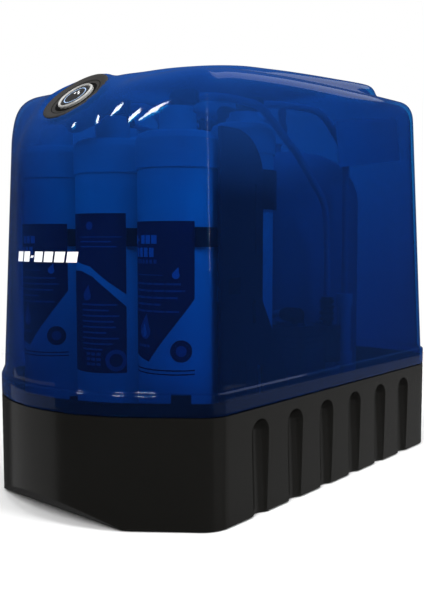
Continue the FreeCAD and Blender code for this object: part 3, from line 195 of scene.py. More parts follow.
def tinted_shell(name, light, dark, haze_color, rough=0.035):
    """Clear coloured plastic: light passes through tinted, and reflects by angle.

    A slanting ray crosses more plastic, so it's darker and milkier. The tint is darker towards the foot
    and the rear as painted shade; the roof and the top of the nose get a painted milky sheen, and the
    nose's tint painted shade.
    """
    material, tree, output = new_material(name)
    place = tree.nodes.new("ShaderNodeTexCoord")
    axes = tree.nodes.new("ShaderNodeSeparateXYZ")
    tree.links.new(place.outputs["Object"], axes.inputs["Vector"])
    depth, height = axes.outputs["Y"], axes.outputs["Z"]
    angle = tree.nodes.new("ShaderNodeLayerWeight")
    angle.inputs["Blend"].default_value = 0.5
    wave = bump(tree, noise(tree, 14.0, 1.0), 0.02, 0.004)
    tree.links.new(wave, angle.inputs["Normal"])
    facing = angle.outputs["Facing"]

    # painted sheen: the top of the nose, towards the front, is made milkier
    painted_top_sheen = span(tree, height, (0.25, 0.30), (0.0, PAINTED_NOSE_SHEEN))
    frontward = span(tree, depth, (-0.10, 0.06), (1.0, 0.0))
    painted_nose_sheen = combine(tree, "MULTIPLY", painted_top_sheen, frontward)

    # painted shade: the tint is darker towards the foot and lighter upwards
    upper = span(tree, height, (0.09, 0.30), (0.0, 0.42))
    square_on = spread(tree, power(tree, facing, 2.0), 0.58, -0.6)
    # painted shade: the tint is darker towards the rear
    painted_rear_shade = span(tree, depth, (0.02, 0.20), (0.0, -0.14))
    # painted shade: the tint is darker where the nose has its painted sheen
    painted_nose_shade = span(tree, painted_nose_sheen, (0.0, PAINTED_NOSE_SHEEN), (0.0, -0.13))
    drift = spread(tree, noise(tree, 6.0, 2.0), 0.0, 0.12)
    clearness = total(tree, upper, square_on, painted_rear_shade, painted_nose_shade, drift)
    clear = tree.nodes.new("ShaderNodeBsdfTransparent")
    tree.links.new(ramp(tree, clearness, dark, light, 0.0, 1.0), clear.inputs["Color"])

    slant = spread(tree, power(tree, facing, 3.0), 0.025, 0.36)
    # painted sheen: the roof is made milkier and lighter, as if lit more from above
    painted_roof_sheen = span(tree, height, (0.30, 0.36), (0.0, 0.10))
    haze = tree.nodes.new("ShaderNodeBsdfDiffuse")
    haze.inputs["Color"].default_value = (*haze_color, 1)
    milkiness_and_sheen = total(tree, slant, painted_roof_sheen, painted_nose_sheen)
    milky = blend(tree, milkiness_and_sheen, clear.outputs["BSDF"], haze.outputs["BSDF"])

    shine = tree.nodes.new("ShaderNodeBsdfGlossy")
    shine.inputs["Color"].default_value = (0.92, 0.95, 1.0, 1)
    polish = spread(tree, noise(tree, 40.0, 3.0), rough * 0.6, rough * 1.4)
    tree.links.new(polish, shine.inputs["Roughness"])
    tree.links.new(wave, shine.inputs["Normal"])
    mirror = spread(tree, power(tree, facing, 5.0), 0.035, 0.85)
    tree.links.new(blend(tree, mirror, milky, shine.outputs["BSDF"]), output.inputs["Surface"])
    return material


# strength of the painted sheen on the top of the nose
PAINTED_NOSE_SHEEN = 0.17
WHITE = plastic("housing white", (0.80, 0.83, 0.86), rough=0.32, vary=0.03, relief=0.03)
CAP_WHITE = plastic("cap white", (0.74, 0.78, 0.82), rough=0.4, vary=0.04, relief=0.05)
NAVY = plastic("label navy", (0.010, 0.022, 0.085), rough=0.45, vary=0.1)
LABEL_PRINT = plastic("label print", (0.10, 0.17, 0.36), rough=0.5, vary=0.1)
LABEL_BRIGHT = plastic("label bright print", (0.35, 0.5, 0.75), rough=0.5, vary=0.08)
BLACK = plastic("clip black", (0.012, 0.013, 0.016), rough=0.4, relief=0.08)
FITTING = plastic("fitting black", (0.015, 0.016, 0.02), rough=0.32, relief=0.05)
CHASSIS = plastic("chassis paint", (0.018, 0.02, 0.028), rough=0.42, relief=0.12, grain=420)
TUBE = plastic("tube white", (0.30, 0.40, 0.50), rough=0.25, vary=0.03, relief=0.02)
TANK = plastic("tank enamel", (0.20, 0.32, 0.42), rough=0.4, vary=0.05, relief=0.05)
VALVE = plastic("valve white", (0.75, 0.78, 0.8), rough=0.35, vary=0.04)
LEVER = plastic("lever blue", (0.08, 0.13, 0.20), rough=0.3)
RUBBER = plastic("rubber", (0.02, 0.02, 0.02), rough=0.75, relief=0.2, grain=600)
STEEL = brushed("steel", (0.55, 0.55, 0.57), 0.32)
IRON = brushed("laminations", (0.3, 0.26, 0.22), 0.45, "X")
PUMP_HEAD = plastic("pump head", (0.05, 0.052, 0.058), rough=0.45, relief=0.15, grain=300)
MEMBRANE = plastic("membrane film", (0.7, 0.72, 0.66), rough=0.5, relief=0.2, grain=500)
COLLET = plastic("collet grey", (0.42, 0.44, 0.47), rough=0.35)
WIRE = plastic("wire jacket", (0.03, 0.03, 0.035), rough=0.5)
BASE = plastic("base black", (0.0050, 0.0048, 0.0042), rough=0.2, vary=0.06, relief=0.03, grain=260)
BEZEL = plastic("bezel grey", (0.030, 0.029, 0.028), rough=0.42, vary=0.05, relief=0.05, gloss=0.3)
SILVER = plastic("silver ring", (0.34, 0.34, 0.33), rough=0.3, vary=0.05, relief=0.03)
DISC = plastic("button disc", (0.022, 0.022, 0.023), rough=0.35, vary=0.08, gloss=0.3)
# the white print and the button's dots glow a little, as painted light
MARK = plastic("printed white and painted glints, glowing", (0.85, 0.87, 0.9), rough=0.4, vary=0.02, glow=0.08)
SHADOW = plastic("badge gap painted shadow", (0.004, 0.004, 0.004), rough=0.7, gloss=0.1)
STICKER = plastic("rating sticker", (0.55, 0.6, 0.68), rough=0.45, vary=0.04)
SHELL = tinted_shell("blue shell", (0.03, 0.50, 0.76), (0.003, 0.13, 0.34), (0.014, 0.085, 0.36))

LOOKS = {
    "base_tub": BASE, "rubber_feet": RUBBER, "cover_shell": SHELL, "badge_bezel": BEZEL,
    "timer_housing": BLACK, "button_ring": SILVER, "button_disc": DISC, "rating_label": STICKER,
    "chassis_plate": CHASSIS, "chassis_flanges": CHASSIS, "machine_screws": STEEL,
    "front_clips": BLACK, "rear_clips": BLACK, "cartridge_labels": NAVY,
    "membrane_element": MEMBRANE, "tank_shell": TANK, "tank_bladder": RUBBER, "tank_stand": BLACK,
    "tank_valve": VALVE, "tank_valve_lever": LEVER, "pump_bracket": STEEL, "pump_grommets": RUBBER,
    "pump_motor": STEEL, "pump_bearings": STEEL, "pump_rotor": IRON, "pump_head": PUMP_HEAD,
    "solenoid_valve": FITTING, "low_pressure_switch": FITTING, "high_pressure_switch": FITTING,
    "check_valve": VALVE, "flow_restrictor": VALVE, "elbow_fittings": FITTING, "feed_port": FITTING,
    "product_port": FITTING, "drain_port": FITTING, "feed_collet": COLLET, "product_collet": COLLET,
    "drain_collet": COLLET, "dc_socket": FITTING, "wire_harness": WIRE,
}


def look_of(node):
    """The material of a CAD node: its own, or that of its kind."""
    if node in LOOKS:
        return LOOKS[node]
    if node.startswith("tube_"):
        return TUBE
    return CAP_WHITE if node.endswith("_caps") else WHITE


for node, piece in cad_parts.items():
    piece.data.materials.clear()
    piece.data.materials.append(look_of(node))


# ------------------------------------------------------------------ small mesh helpers
def place_mesh(name, mesh, material, body, smooth=True):
    """Shows a finished mesh in one material and lets it ride on a CAD body."""
    for polygon in mesh.polygons:
        polygon.use_smooth = smooth
    mesh.materials.append(material)
    piece = bpy.data.objects.new(name, mesh)
    bpy.context.scene.collection.objects.link(piece)
    if body:
        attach(piece, body)
    return piece


def add_mesh(name, vertices, faces, material, body, smooth=True):
    """A mesh of the vertices given, in metres, that rides on a CAD body."""
    mesh = bpy.data.meshes.new(name)
    mesh.from_pydata([tuple(v) for v in vertices], [], faces)
    mesh.update()
    return place_mesh(name, mesh, material, body, smooth)


def wrapped_patch(name, outline, wrap, step, material, body, smooth=True):
    """A flat outline of (degrees round, height mm), cut every step degrees and wrapped on a form."""
    work = bmesh.new()
    work.faces.new([work.verts.new((turn, z, 0)) for turn, z in outline])
    turns = [turn for turn, _ in outline]
    cut = math.floor(min(turns) / step) * step + step
    while cut < max(turns) - 1e-6:
        geometry = list(work.verts) + list(work.edges) + list(work.faces)
        bmesh.ops.bisect_plane(work, geom=geometry, plane_co=(cut, 0, 0), plane_no=(1, 0, 0))
        cut += step
    for vertex in work.verts:
        vertex.co = [value * MM for value in wrap(vertex.co.x, vertex.co.y)]
    mesh = bpy.data.meshes.new(name)
    work.to_mesh(mesh)
    work.free()
    return place_mesh(name, mesh, material, body, smooth)


# ------------------------------------------------------------------ the hood's form, in millimetres
COVER_LOW, COVER_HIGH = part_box("cover_shell")
BAND_STEP = 2.6
HALF_WIDTH = round(COVER_HIGH[0] / MM - BAND_STEP, 1)
BACK = round(COVER_HIGH[1] / MM - BAND_STEP, 1)
BAND_FOOT_Z = round(COVER_LOW[2] / MM, 1)
WALL_FOOT_Z = 105.0
HOOD_WALL = 3.0

# (height above the band's foot, distance back from the band's face)
BAND_PROFILE = (
    (0, 0.5), (0.6, 0), (2.7, 0), (8.7, 0), (14.7, 0),
    (15.6, 0.2), (16.3, 0.8), (16.7, 1.7), (17.0, 2.2), (17.5, BAND_STEP),
)

NOSE_RADIUS = 135.4
NOSE_CENTRE_Y = -BACK + NOSE_RADIUS
FACET_ANGLE = math.radians(37.9)
FRONT_CORNER = 23.4
REAR_CORNER = 21.0
CORNER_SOFTENING = 9.0

DRAFT_FOOT_Z = BAND_FOOT_Z + 16
DRAFT_HEIGHT = 300.0
DRAFT_INSET = 14.4
REAR_RELIEF = 5.0
REAR_RELIEF_START_Y = 60.0
REAR_RELIEF_RUN = 120.0

# (y, z) down the middle of the roof and of its raised crest, and (y, half width) of the crest
ROOF = (
    (-245, 251), (-203, 289.5), (-188, 305), (-164, 333), (-142, 344), (-120, 347.5),
    (-103, 350.5), (-80, 353), (-40, 356), (30, 359.5), (110, 362), (240, 364.5),
)
CREST = (
    (-245, 259), (-205, 295.2), (-185, 313.2), (-164.2, 332), (-147, 343.5), (-132, 348.5),
    (-110, 355), (-80, 361.5), (-45, 366.5), (0, 370.8), (60, 375.3), (100, 378), (150, 381.5), (240, 385),
)
CREST_WIDTH = ((-245, 36), (-165, 36), (-141, 38.5), (-104, 55), (-50, 76), (0, 80), (240, 80))
CREST_BACK = 185.0

# cosines of their usual slopes, which turn a height or a width into a distance
ROOF_LEAN = 0.98
CREST_LEAN = 0.97
FLANK_LEAN = 0.93

# how far from an edge it is rounded off
SHOULDER_BLEND = 22.0
CREST_SHOULDER_BLEND = 15.4
CREST_BLEND = 12.0
CREST_END_BLEND = 16.0
LEAST_BLEND = 0.5
RIDGE_BLEND = 14.0
RIDGE_BLEND_START_Z = 110.0
RIDGE_BLEND_RISE = 130.0

BADGE = np.array((0.0, -164.2, 332.0))
TILT = math.radians(42.0)
BADGE_NORMAL = np.array((0.0, -math.sin(TILT), math.cos(TILT)))
BADGE_HOLE = 25.1
BADGE_HOLE_DEPTH = 12.0
BOSS_RADIUS = 33.0
BOSS_DEPTH = 14.0
BOSS_EDGE_BLEND = 3.0
BOSS_FOOT_BLEND = 5.0
SEAT_RADIUS = 31.2

# the hood's skins are where rays from its middle leave its form
HOOD_CENTRE = np.array((0.0, -20.0, 250.0))
FAR = 320.0
BISECTIONS = 34
TURNS_TRIED = 3600
BEND_WEIGHT = 60.0
WALL_ROWS = 40
ROOF_ROWS = 150
HOOD_COLUMNS = 360


def smooth_step(t):
    """Rises from 0 to 1 with level ends as t goes from 0 to 1."""
    t = np.clip(t, 0, 1)
    return t ** 2 * (3 - 2 * t)


def through(points, at):
    """A smooth curve through (position, value) points, read at the positions given."""
    xs = np.array([p[0] for p in points], float)
    ys = np.array([p[1] for p in points], float)
    slopes = np.gradient(ys, xs)
    index = np.clip(np.searchsorted(xs, at) - 1, 0, len(xs) - 2)
    step = xs[index + 1] - xs[index]
    t = np.clip((at - xs[index]) / step, 0, 1)
    a = (1 + 2 * t) * (1 - t) ** 2 * ys[index] + t * (1 - t) ** 2 * step * slopes[index]
    b = t ** 2 * (3 - 2 * t) * ys[index + 1] + t ** 2 * (t - 1) * step * slopes[index + 1]
    return a + b


def soft_max(a, b, k):
    """The larger of two values, blended where they differ by less than k."""
    h = np.clip(0.5 + 0.5 * (a - b) / k, 0, 1)
    return b + (a - b) * h + k * h * (1 - h)


def soft_min(a, b, k):
    """The smaller of two values, blended where they differ by less than k."""
    return -soft_max(-a, -b, k)


def plan_distance(x, y, lift):
    """Signed distance to the case's plan; lift is 0 at the foot and 1 at the draft's top."""
    x = np.abs(x)
    y = y - REAR_RELIEF * lift * smooth_step((y - REAR_RELIEF_START_Y) / REAR_RELIEF_RUN)
    corner = FRONT_CORNER + CORNER_SOFTENING * lift
    rear_corner = REAR_CORNER + CORNER_SOFTENING * lift
    sin_a, cos_a = math.sin(FACET_ANGLE), math.cos(FACET_ANGLE)
    start_x = NOSE_RADIUS * sin_a
    start_y = NOSE_CENTRE_Y - NOSE_RADIUS * cos_a
    corner_y = start_y + (HALF_WIDTH - start_x) / cos_a * sin_a
    centre_x = HALF_WIDTH - corner
    centre_y = corner_y + corner * math.tan((math.pi / 2 - FACET_ANGLE) / 2)
    nose_turn = np.arctan2(x, -(y - NOSE_CENTRE_Y))
    corner_turn = np.arctan2(x - centre_x, -(y - centre_y))
    nose = np.hypot(x, y - NOSE_CENTRE_Y) - NOSE_RADIUS
    facet = sin_a * (x - start_x) - cos_a * (y - start_y)
    front_corner = np.hypot(x - centre_x, y - centre_y) - corner
    side = np.maximum(x - HALF_WIDTH, y - BACK)
    rear = np.hypot(x - (HALF_WIDTH - rear_corner), y - (BACK - rear_corner)) - rear_corner
    in_rear = (x > HALF_WIDTH - rear_corner) & (y > BACK - rear_corner)
    in_nose = (nose_turn < FACET_ANGLE) & (y < NOSE_CENTRE_Y)
    in_corner = (corner_turn > FACET_ANGLE) & (corner_turn < math.pi / 2) & (y < centre_y)
    in_facet = (corner_turn <= FACET_ANGLE) & (y < centre_y) & ~in_nose
    return np.select([in_nose, in_corner, in_facet, in_rear], [nose, front_corner, facet, rear], side)


def wall_distance(x, y, z, inset):
    """Signed distance to the drafted walls, moved inwards by inset."""
    lift = np.clip((z - DRAFT_FOOT_Z) / DRAFT_HEIGHT, 0, 1.2)
    return plan_distance(x, y, lift) + DRAFT_INSET * lift + inset


def badge_polar(x, y, z):
    """Height above the badge's plane, and distance from its axis."""
    dy, dz = y - BADGE[1], z - BADGE[2]
    height = dy * BADGE_NORMAL[1] + dz * BADGE_NORMAL[2]
    across = np.sqrt(np.maximum(x * x + dy * dy + dz * dz - height * height, 0))
    return height, across


def hood_distance(x, y, z, inset):
    """Below zero inside the hood's form: drafted walls, roof, raised crest and the badge's seat."""
    wall = wall_distance(x, y, z, inset)
    body = soft_max(wall, (z - through(ROOF, y)) * ROOF_LEAN + inset, SHOULDER_BLEND)
    top = (z - through(CREST, y)) * CREST_LEAN + inset
    side = (np.abs(x) - through(CREST_WIDTH, y)) * FLANK_LEAN + inset
    flank = soft_max(side, y - CREST_BACK + inset, CREST_END_BLEND)
    crest = soft_max(soft_max(top, flank, CREST_BLEND), wall, CREST_SHOULDER_BLEND)
    climb = smooth_step((z - RIDGE_BLEND_START_Z) / RIDGE_BLEND_RISE)
    form = soft_min(body, crest, LEAST_BLEND + (RIDGE_BLEND - LEAST_BLEND) * climb)
    height, across = badge_polar(x, y, z)
    boss = soft_max(across - BOSS_RADIUS + inset, height + inset, BOSS_EDGE_BLEND)
    raised = soft_min(form, np.maximum(boss, -height - BOSS_DEPTH), BOSS_FOOT_BLEND)
    above_seat = np.maximum(across - SEAT_RADIUS, -height)
    return np.maximum(raised, inset - above_seat)


def first_crossing(field, near, far):
    """Where a field that is negative near and positive far crosses zero, by bisection."""
    for _ in range(BISECTIONS):
        middle = (near + far) / 2
        inside = field(middle) < 0
        near = np.where(inside, middle, near)
        far = np.where(inside, far, middle)
    return (near + far) / 2


def reach_of(field, count):
    """How far count rays go from the hood's middle before they leave a field."""
    return first_crossing(field, np.zeros(count), np.full(count, FAR))


def plan_directions(count):
    """Unit directions from the middle, closer together where the plan's outline bends."""
    turn = np.linspace(0, 2 * math.pi, TURNS_TRIED + 1)[:-1]
    dx, dy = np.sin(turn), -np.cos(turn)
    reach = reach_of(lambda t: plan_distance(dx * t, HOOD_CENTRE[1] + dy * t, 0 * t), TURNS_TRIED)
    px, py = dx * reach, HOOD_CENTRE[1] + dy * reach
    step = np.hypot(np.roll(px, -1) - px, np.roll(py, -1) - py)
    ahead = np.arctan2(np.roll(py, -1) - py, np.roll(px, -1) - px)
    behind = np.arctan2(py - np.roll(py, 1), px - np.roll(px, 1))
    bend = np.abs(np.angle(np.exp(1j * (ahead - behind))))
    weight = np.cumsum(step + BEND_WEIGHT * bend)
    pick = np.interp(np.arange(count) / count * weight[-1], weight, turn)
    return np.sin(pick), -np.cos(pick)


def hood_surface(columns, inset):
    """Rings of points from the band's foot up the walls and over the roof, and the top point."""
    dx, dy = plan_directions(columns)
    middle_y, middle_z = HOOD_CENTRE[1], HOOD_CENTRE[2]
    rings = []
    band = [(BAND_FOOT_Z + rise, BAND_STEP - back) for rise, back in BAND_PROFILE]
    wall = [(z, 0.0) for z in np.linspace(WALL_FOOT_Z + 1, middle_z, WALL_ROWS)]
    for z, out in band + wall:
        def level_field(t, z=z, out=out):
            x, y = dx * t, middle_y + dy * t
            if z < WALL_FOOT_Z:
                return wall_distance(x, y, z + 0 * t, inset - out)
            return hood_distance(x, y, z + 0 * t, inset)
        reach = reach_of(level_field, columns)
        rings.append(np.stack([dx * reach, middle_y + dy * reach, np.full(columns, z)], 1))
    for rise in np.radians(np.linspace(0, 90, ROOF_ROWS)[1:-1]):
        ux, uy, uz = dx * math.cos(rise), dy * math.cos(rise), math.sin(rise)

        def rising_field(t, ux=ux, uy=uy, uz=uz):
            return hood_distance(ux * t, middle_y + uy * t, middle_z + uz * t, inset)
        reach = reach_of(rising_field, columns)
        rings.append(np.stack([ux * reach, middle_y + uy * reach, middle_z + uz * reach], 1))
    top = reach_of(lambda t: hood_distance(0 * t, 0 * t + middle_y, middle_z + t, inset), 1)
    return rings, np.array((0.0, middle_y, middle_z + top[0]))


def make_hood(columns):
    """The hood: an outer and an inner skin joined at the foot, with a hole for the badge."""
    vertices, faces = [], []
    skins = []
    for inset, outward in ((0.0, True), (HOOD_WALL, False)):
        rings, top = hood_surface(columns, inset)
        start = len(vertices)
        for ring in rings:
            vertices.extend(ring)
        top_index = len(vertices)
        vertices.append(top)
        for row in range(len(rings) - 1):
            a, b = start + row * columns, start + (row + 1) * columns
            for col in range(columns):
                nxt = (col + 1) % columns
                quad = (a + col, a + nxt, b + nxt, b + col)
                faces.append(quad if outward else quad[::-1])
        last = start + (len(rings) - 1) * columns
        for col in range(columns):
            tri = (last + col, last + (col + 1) % columns, top_index)
            faces.append(tri if outward else tri[::-1])
        skins.append(start)
    for col in range(columns):
        nxt = (col + 1) % columns
        faces.append((skins[1] + col, skins[1] + nxt, skins[0] + nxt, skins[0] + col))
    points = np.array(vertices)
    height, across = badge_polar(*points.T)
    in_hole = (across < BADGE_HOLE) & (np.abs(height) < BADGE_HOLE_DEPTH)
    faces = [face for face in faces if not any(in_hole[i] for i in face)]
    return add_mesh("hood", points * MM, faces, SHELL, "cover")


hood = make_hood(HOOD_COLUMNS)
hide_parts("cover_shell")


# ------------------------------------------------------------------ printed labels, in degrees and mm
LABEL_RADIUS = 32.0
PRINT_RADIUS = 32.09
RING_CORE_RADIUS = 32.15
LABEL_STEP = 4.0
LABEL_EDGE = 66
WORD_GAP = 1.5
SIDE_CARTRIDGES = ("sediment_filter_body", "granular_carbon_filter_body")
MIDDLE_CARTRIDGE = "carbon_block_filter_body"


def axis_of(node):
    """Where the upright axis of a CAD node stands, in millimetres."""
    low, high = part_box(node)
    return tuple(round((low[i] + high[i]) / 2 / MM, 1) for i in (0, 1))


def stick(name, outline, cartridge, radius, material):
    """A thin print bent round a cartridge at a radius."""
    axis = axis_of(cartridge)

    def wrap(turn, z):
        angle = math.radians(turn)
        return axis[0] + radius * math.sin(angle), axis[1] - radius * math.cos(angle), z
    return wrapped_patch(name, outline, wrap, LABEL_STEP, material, "base")


def bar(left, right, low, high):
    """An upright rectangle."""
    return [(left, low), (right, low), (right, high), (left, high)]


def bar_row(count, left, pitch, width, low, high):
    """Equal bars side by side, like the letters of a word."""
    return [bar(left + pitch * k, left + pitch * k + width, low, high) for k in range(count)]


def print_lines(left, ends, words, top, pitch, height):
    """Small print: rows of word-long bars, each row stopping at its own end."""
    bars = []
    for row, end in enumerate(ends):
        z = top - pitch * row
        start = left
        for word in words:
            stop = min(start + word, end)
            bars.append(bar(start, stop - WORD_GAP, z, z + height))
            start = stop
            if start >= end - 2:
                break
    return bars


def round_shape(centre, radius_mm, cylinder_radius=PRINT_RADIUS, count=28):
    """A disc that stays round once it is bent round a cylinder."""
    per_mm = math.degrees(1 / cylinder_radius)
    turns = [2 * math.pi * k / count for k in range(count)]
    return [
        (centre[0] + radius_mm * math.cos(turn) * per_mm, centre[1] + radius_mm * math.sin(turn))
        for turn in turns
    ]


def drop_shape(centre, height_mm, lean):
    """A water drop: round below, pointed on top."""
    per_mm = math.degrees(1 / PRINT_RADIUS)
    radius = height_mm * 0.32
    outline = []
    for k in range(33):
        turn = math.radians(-215 + 250 * k / 32)
        outline.append((radius * math.cos(turn), radius * math.sin(turn)))
    outline.append((lean, height_mm * 0.68))
    return [(centre[0] + x * per_mm, centre[1] + y) for x, y in outline]


def side_art():
    """Print of the two outer labels: block titles, small print, drops and a foot row."""
    title = [bar(-44, -31, 214.5, 221), bar(-29, -25, 216.5, 218.5)]
    title += bar_row(3, -18, 11, 9, 214.5, 221)
    title += bar_row(5, -44, 11, 8, 204.5, 211.5)
    text = bar_row(8, -44, 7.4, 5, 199.5, 202.5)
    text.append(bar(-44, 22, 190.6, 191.2))
    text += print_lines(-44, (48, 54, 44, 20, 46), (16, 22, 13, 19, 24, 15), 183.5, 5.2, 1.5)
    art = [(shape, LABEL_BRIGHT) for shape in title]
    art += [(shape, LABEL_PRINT) for shape in text]
    art.append((drop_shape((40, 191), 9, 2), LABEL_BRIGHT))
    art.append((drop_shape((-10, 148), 20, 2.5), LABEL_PRINT))
    art.append((drop_shape((-12.5, 146.5), 11, 1.5), LABEL_BRIGHT))
    art += [(shape, LABEL_PRINT) for shape in bar_row(4, -26, 7, 5, 135.5, 137.6)]
    return art


def side_label(cartridge):
    """A label with a slanted foot, its print, a round seal and two lines below."""
    mark = int(axis_of(cartridge)[0])
    sheet = [(-LABEL_EDGE, 132), (-2, 124.5), (LABEL_EDGE, 173), (LABEL_EDGE, 231.5), (-LABEL_EDGE, 231.5)]
    pieces = [stick(f"label_{mark}", sheet, cartridge, LABEL_RADIUS, NAVY)]
    for number, (shape, material) in enumerate(side_art()):
        pieces.append(stick(f"label_art_{mark}_{number}", shape, cartridge, PRINT_RADIUS, material))
    seal = round_shape((47, 133.5), 8.5, LABEL_RADIUS)
    pieces.append(stick(f"label_seal_{mark}", seal, cartridge, LABEL_RADIUS, NAVY))
    core = round_shape((47, 133.5), 4.2)
    pieces.append(stick(f"label_seal_core_{mark}", core, cartridge, PRINT_RADIUS, LABEL_PRINT))
    for z in (115.2, 118.2):
        line = bar(-LABEL_EDGE, LABEL_EDGE, z, z + 0.9)
        pieces.append(stick(f"label_line_{mark}_{int(z)}", line, cartridge, LABEL_RADIUS, NAVY))
    return pieces


def middle_art():
    """Print of the middle label: a dot, lines, a drop, small print, a block grid and a ring."""
    art = [round_shape((10, 229), 3.4)]
    art += [bar(-10, 60, 219.5, 220.2), bar(-10, 44, 215.5, 216.6), bar(-10, 52, 211.5, 212.6)]
    art.append(drop_shape((4, 172), 13, 2))
    for row, end in enumerate((52, 40, 55, 47, 50, 36, 54, 45, 30)):
        z = 164 - 4.6 * row
        art.append(bar(-6, end, z, z + 1.4))
    for row in range(3):
        z = 118.5 - 4.2 * (row - 1)
        art += bar_row(3, 2, 9, 7, z, z + 2.4)
    art.append(round_shape((50, 119), 9.0))
    return art


def middle_label(cartridge):
    """A label in two parts with a pale sweep between them, and its print."""
    edge = LABEL_EDGE
    upper = [(-edge, 239), (-edge, 196), (-30, 200), (10, 196), (40, 183), (edge, 173), (edge, 239)]
    lower = [(-edge, 108.5), (edge, 108.5), (edge, 163), (40, 176), (14, 188), (-8, 192), (-edge, 192)]
    pieces = [
        stick("label_middle_top", upper, cartridge, LABEL_RADIUS, NAVY),
        stick("label_middle_foot", lower, cartridge, LABEL_RADIUS, NAVY),
    ]
    for number, shape in enumerate(middle_art()):
        pieces.append(stick(f"label_art_0_{number}", shape, cartridge, PRINT_RADIUS, LABEL_PRINT))
    core = round_shape((50, 119), 5.5, RING_CORE_RADIUS)
    pieces.append(stick("label_ring_core", core, cartridge, RING_CORE_RADIUS, NAVY))
    return pieces


left_label = side_label(SIDE_CARTRIDGES[0])
for piece in left_label + middle_label(MIDDLE_CARTRIDGE) + side_label(SIDE_CARTRIDGES[1]):
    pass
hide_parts("cartridge_labels")


# ------------------------------------------------------------------ a generic mark on the hood
MARK_LIFT = 0.12
MARK_STEP = 1.5
MARK_LEAN = 0.6
MARK_LOW = 200.5
MARK_HIGH = 208.5
MARK_BLOCKS = ((-11.5, -8.0), (-7.2, -3.7), (-0.9, 3.2), (4.0, 8.0), (8.8, 12.8), (13.6, 17.4))


def on_hood(turn, z):
    """A point just outside the hood's wall, turn degrees round the nose from the front."""
    dx, dy = math.sin(math.radians(turn)), -math.cos(math.radians(turn))
    reach = reach_of(
        lambda t: hood_distance(dx * t, NOSE_CENTRE_Y + dy * t, z + 0 * t, -MARK_LIFT), 1)[0]
    return dx * reach, NOSE_CENTRE_Y + dy * reach, z


def hood_mark(name, left, right, low, high):
    """A slanted white block printed on the hood."""
    outline = [(left, low), (right, low), (right + MARK_LEAN, high), (left + MARK_LEAN, high)]
    wrapped_patch(name, outline, on_hood, MARK_STEP, MARK, "cover", smooth=False)


for number, (left, right) in enumerate(MARK_BLOCKS):
    hood_mark(f"hood_mark_{number}", left, right, MARK_LOW, MARK_HIGH)
hood_mark("hood_mark_dash", -3.1, -1.5, 203.6, 205.4)


# ------------------------------------------------------------------ badge details
# painted glints: three small white dots on the button disc stand for reflections of lamps
BUTTON_GLINTS = ((-2.2, 3.0), (1.0, 4.2), (3.6, 1.6))
DOT_HALF_WIDTH = 0.7
DOT_HALF_HEIGHT = 1.2
DOT_LIFT = 1.36
DIAL_LIFT = 1.06


def at_badge(x, y, height):
    """A point of the badge's plane in metres: x across, y up the slope, height outwards."""
    up = np.array((0.0, math.cos(TILT), math.sin(TILT)))
    return Vector(BADGE + np.array((x, 0.0, 0.0)) + y * up + height * BADGE_NORMAL) * MM


def badge_ring(name, inner, outer, height, material, body, count=96):
    """A flat ring lying in the badge's plane."""
    points = []
    for radius in (inner, outer):
        for k in range(count):
            turn = 2 * math.pi * k / count
            points.append(at_badge(radius * math.cos(turn), radius * math.sin(turn), height))
    faces = [(k, (k + 1) % count, count + (k + 1) % count, count + k)[::-1] for k in range(count)]
    return add_mesh(name, points, faces, material, body)


# painted shadow: near-black rings in the gap round the button and along the bezel
badge_ring("badge_inner_gap", 16.9, 19.4, -0.52, SHADOW, "cover")
badge_ring("badge_bezel_line", 22.3, 22.9, 0.02, SHADOW, "cover")
for number, (x, y) in enumerate(BUTTON_GLINTS):
    corners = [
        at_badge(x + side * DOT_HALF_WIDTH, y + rise * DOT_HALF_HEIGHT, DOT_LIFT)
        for side, rise in ((-1, -1), (1, -1), (1, 1), (-1, 1))
    ]
    add_mesh(f"button_painted_glint_{number}", corners, [(0, 1, 2, 3)], MARK, "button")
badge_ring("button_dial", 9.6, 10.3, DIAL_LIFT, LABEL_BRIGHT, "button")


# ------------------------------------------------------------------ softened CAD edges
for node, width in (("base_tub", 0.9), ("badge_bezel", 0.4), ("chassis_flanges", 0.6)):
    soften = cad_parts[node].modifiers.new("edge", "BEVEL")
    soften.width = width * MM
    soften.segments = 2
    soften.limit_method = "ANGLE"
    soften.angle_limit = math.radians(35)


# ------------------------------------------------------------------ studio, in metres
FLOOR_RADIUS = 0.85
FLOOR_CORNERS = 128
SURROUND = 0.045
BACKDROP = 1.0
OBJECT_MIDDLE = (0.0, 0.0, 0.2)
NOSE_SHOULDER = (0.08, -0.15, 0.3)
LAMP_DISTANCE = 1.5


def area_light(name, place, target, size, power, size_y=None):
    """A rectangular lamp at a place, facing a target."""
    data = bpy.data.lights.new(name, "AREA")
    data.energy = power
    data.shape = "RECTANGLE"
    data.size = size
    data.size_y = size_y or size
    light = bpy.data.objects.new(name, data)
    light.location = place
    light.rotation_euler = (Vector(target) - Vector(place)).to_track_quat("-Z", "Y").to_euler()
    bpy.context.scene.collection.objects.link(light)
    return light


def softbox(name, place, size, power):
    """A large soft lamp that lights the object but doesn't appear in polished surfaces."""
    area_light(name, place, OBJECT_MIDDLE, size, power).visible_glossy = False


def strip(name, start, end, width, brightness, target=NOSE_SHOULDER):
    """A narrow lamp seen only as a reflection, from start to end and facing the target."""
    start, end = Vector(start), Vector(end)
    centre = (start + end) / 2
    along = (end - start).normalized()
    back = (centre - Vector(target)).normalized()
    across = back.cross(along).normalized()
    back = along.cross(across).normalized()
    length = (end - start).length
    light = area_light(name, centre, target, length, brightness * math.pi * length * width, width)
    light.rotation_euler = Matrix((along, across, back)).transposed().to_euler()
    light.visible_diffuse = False


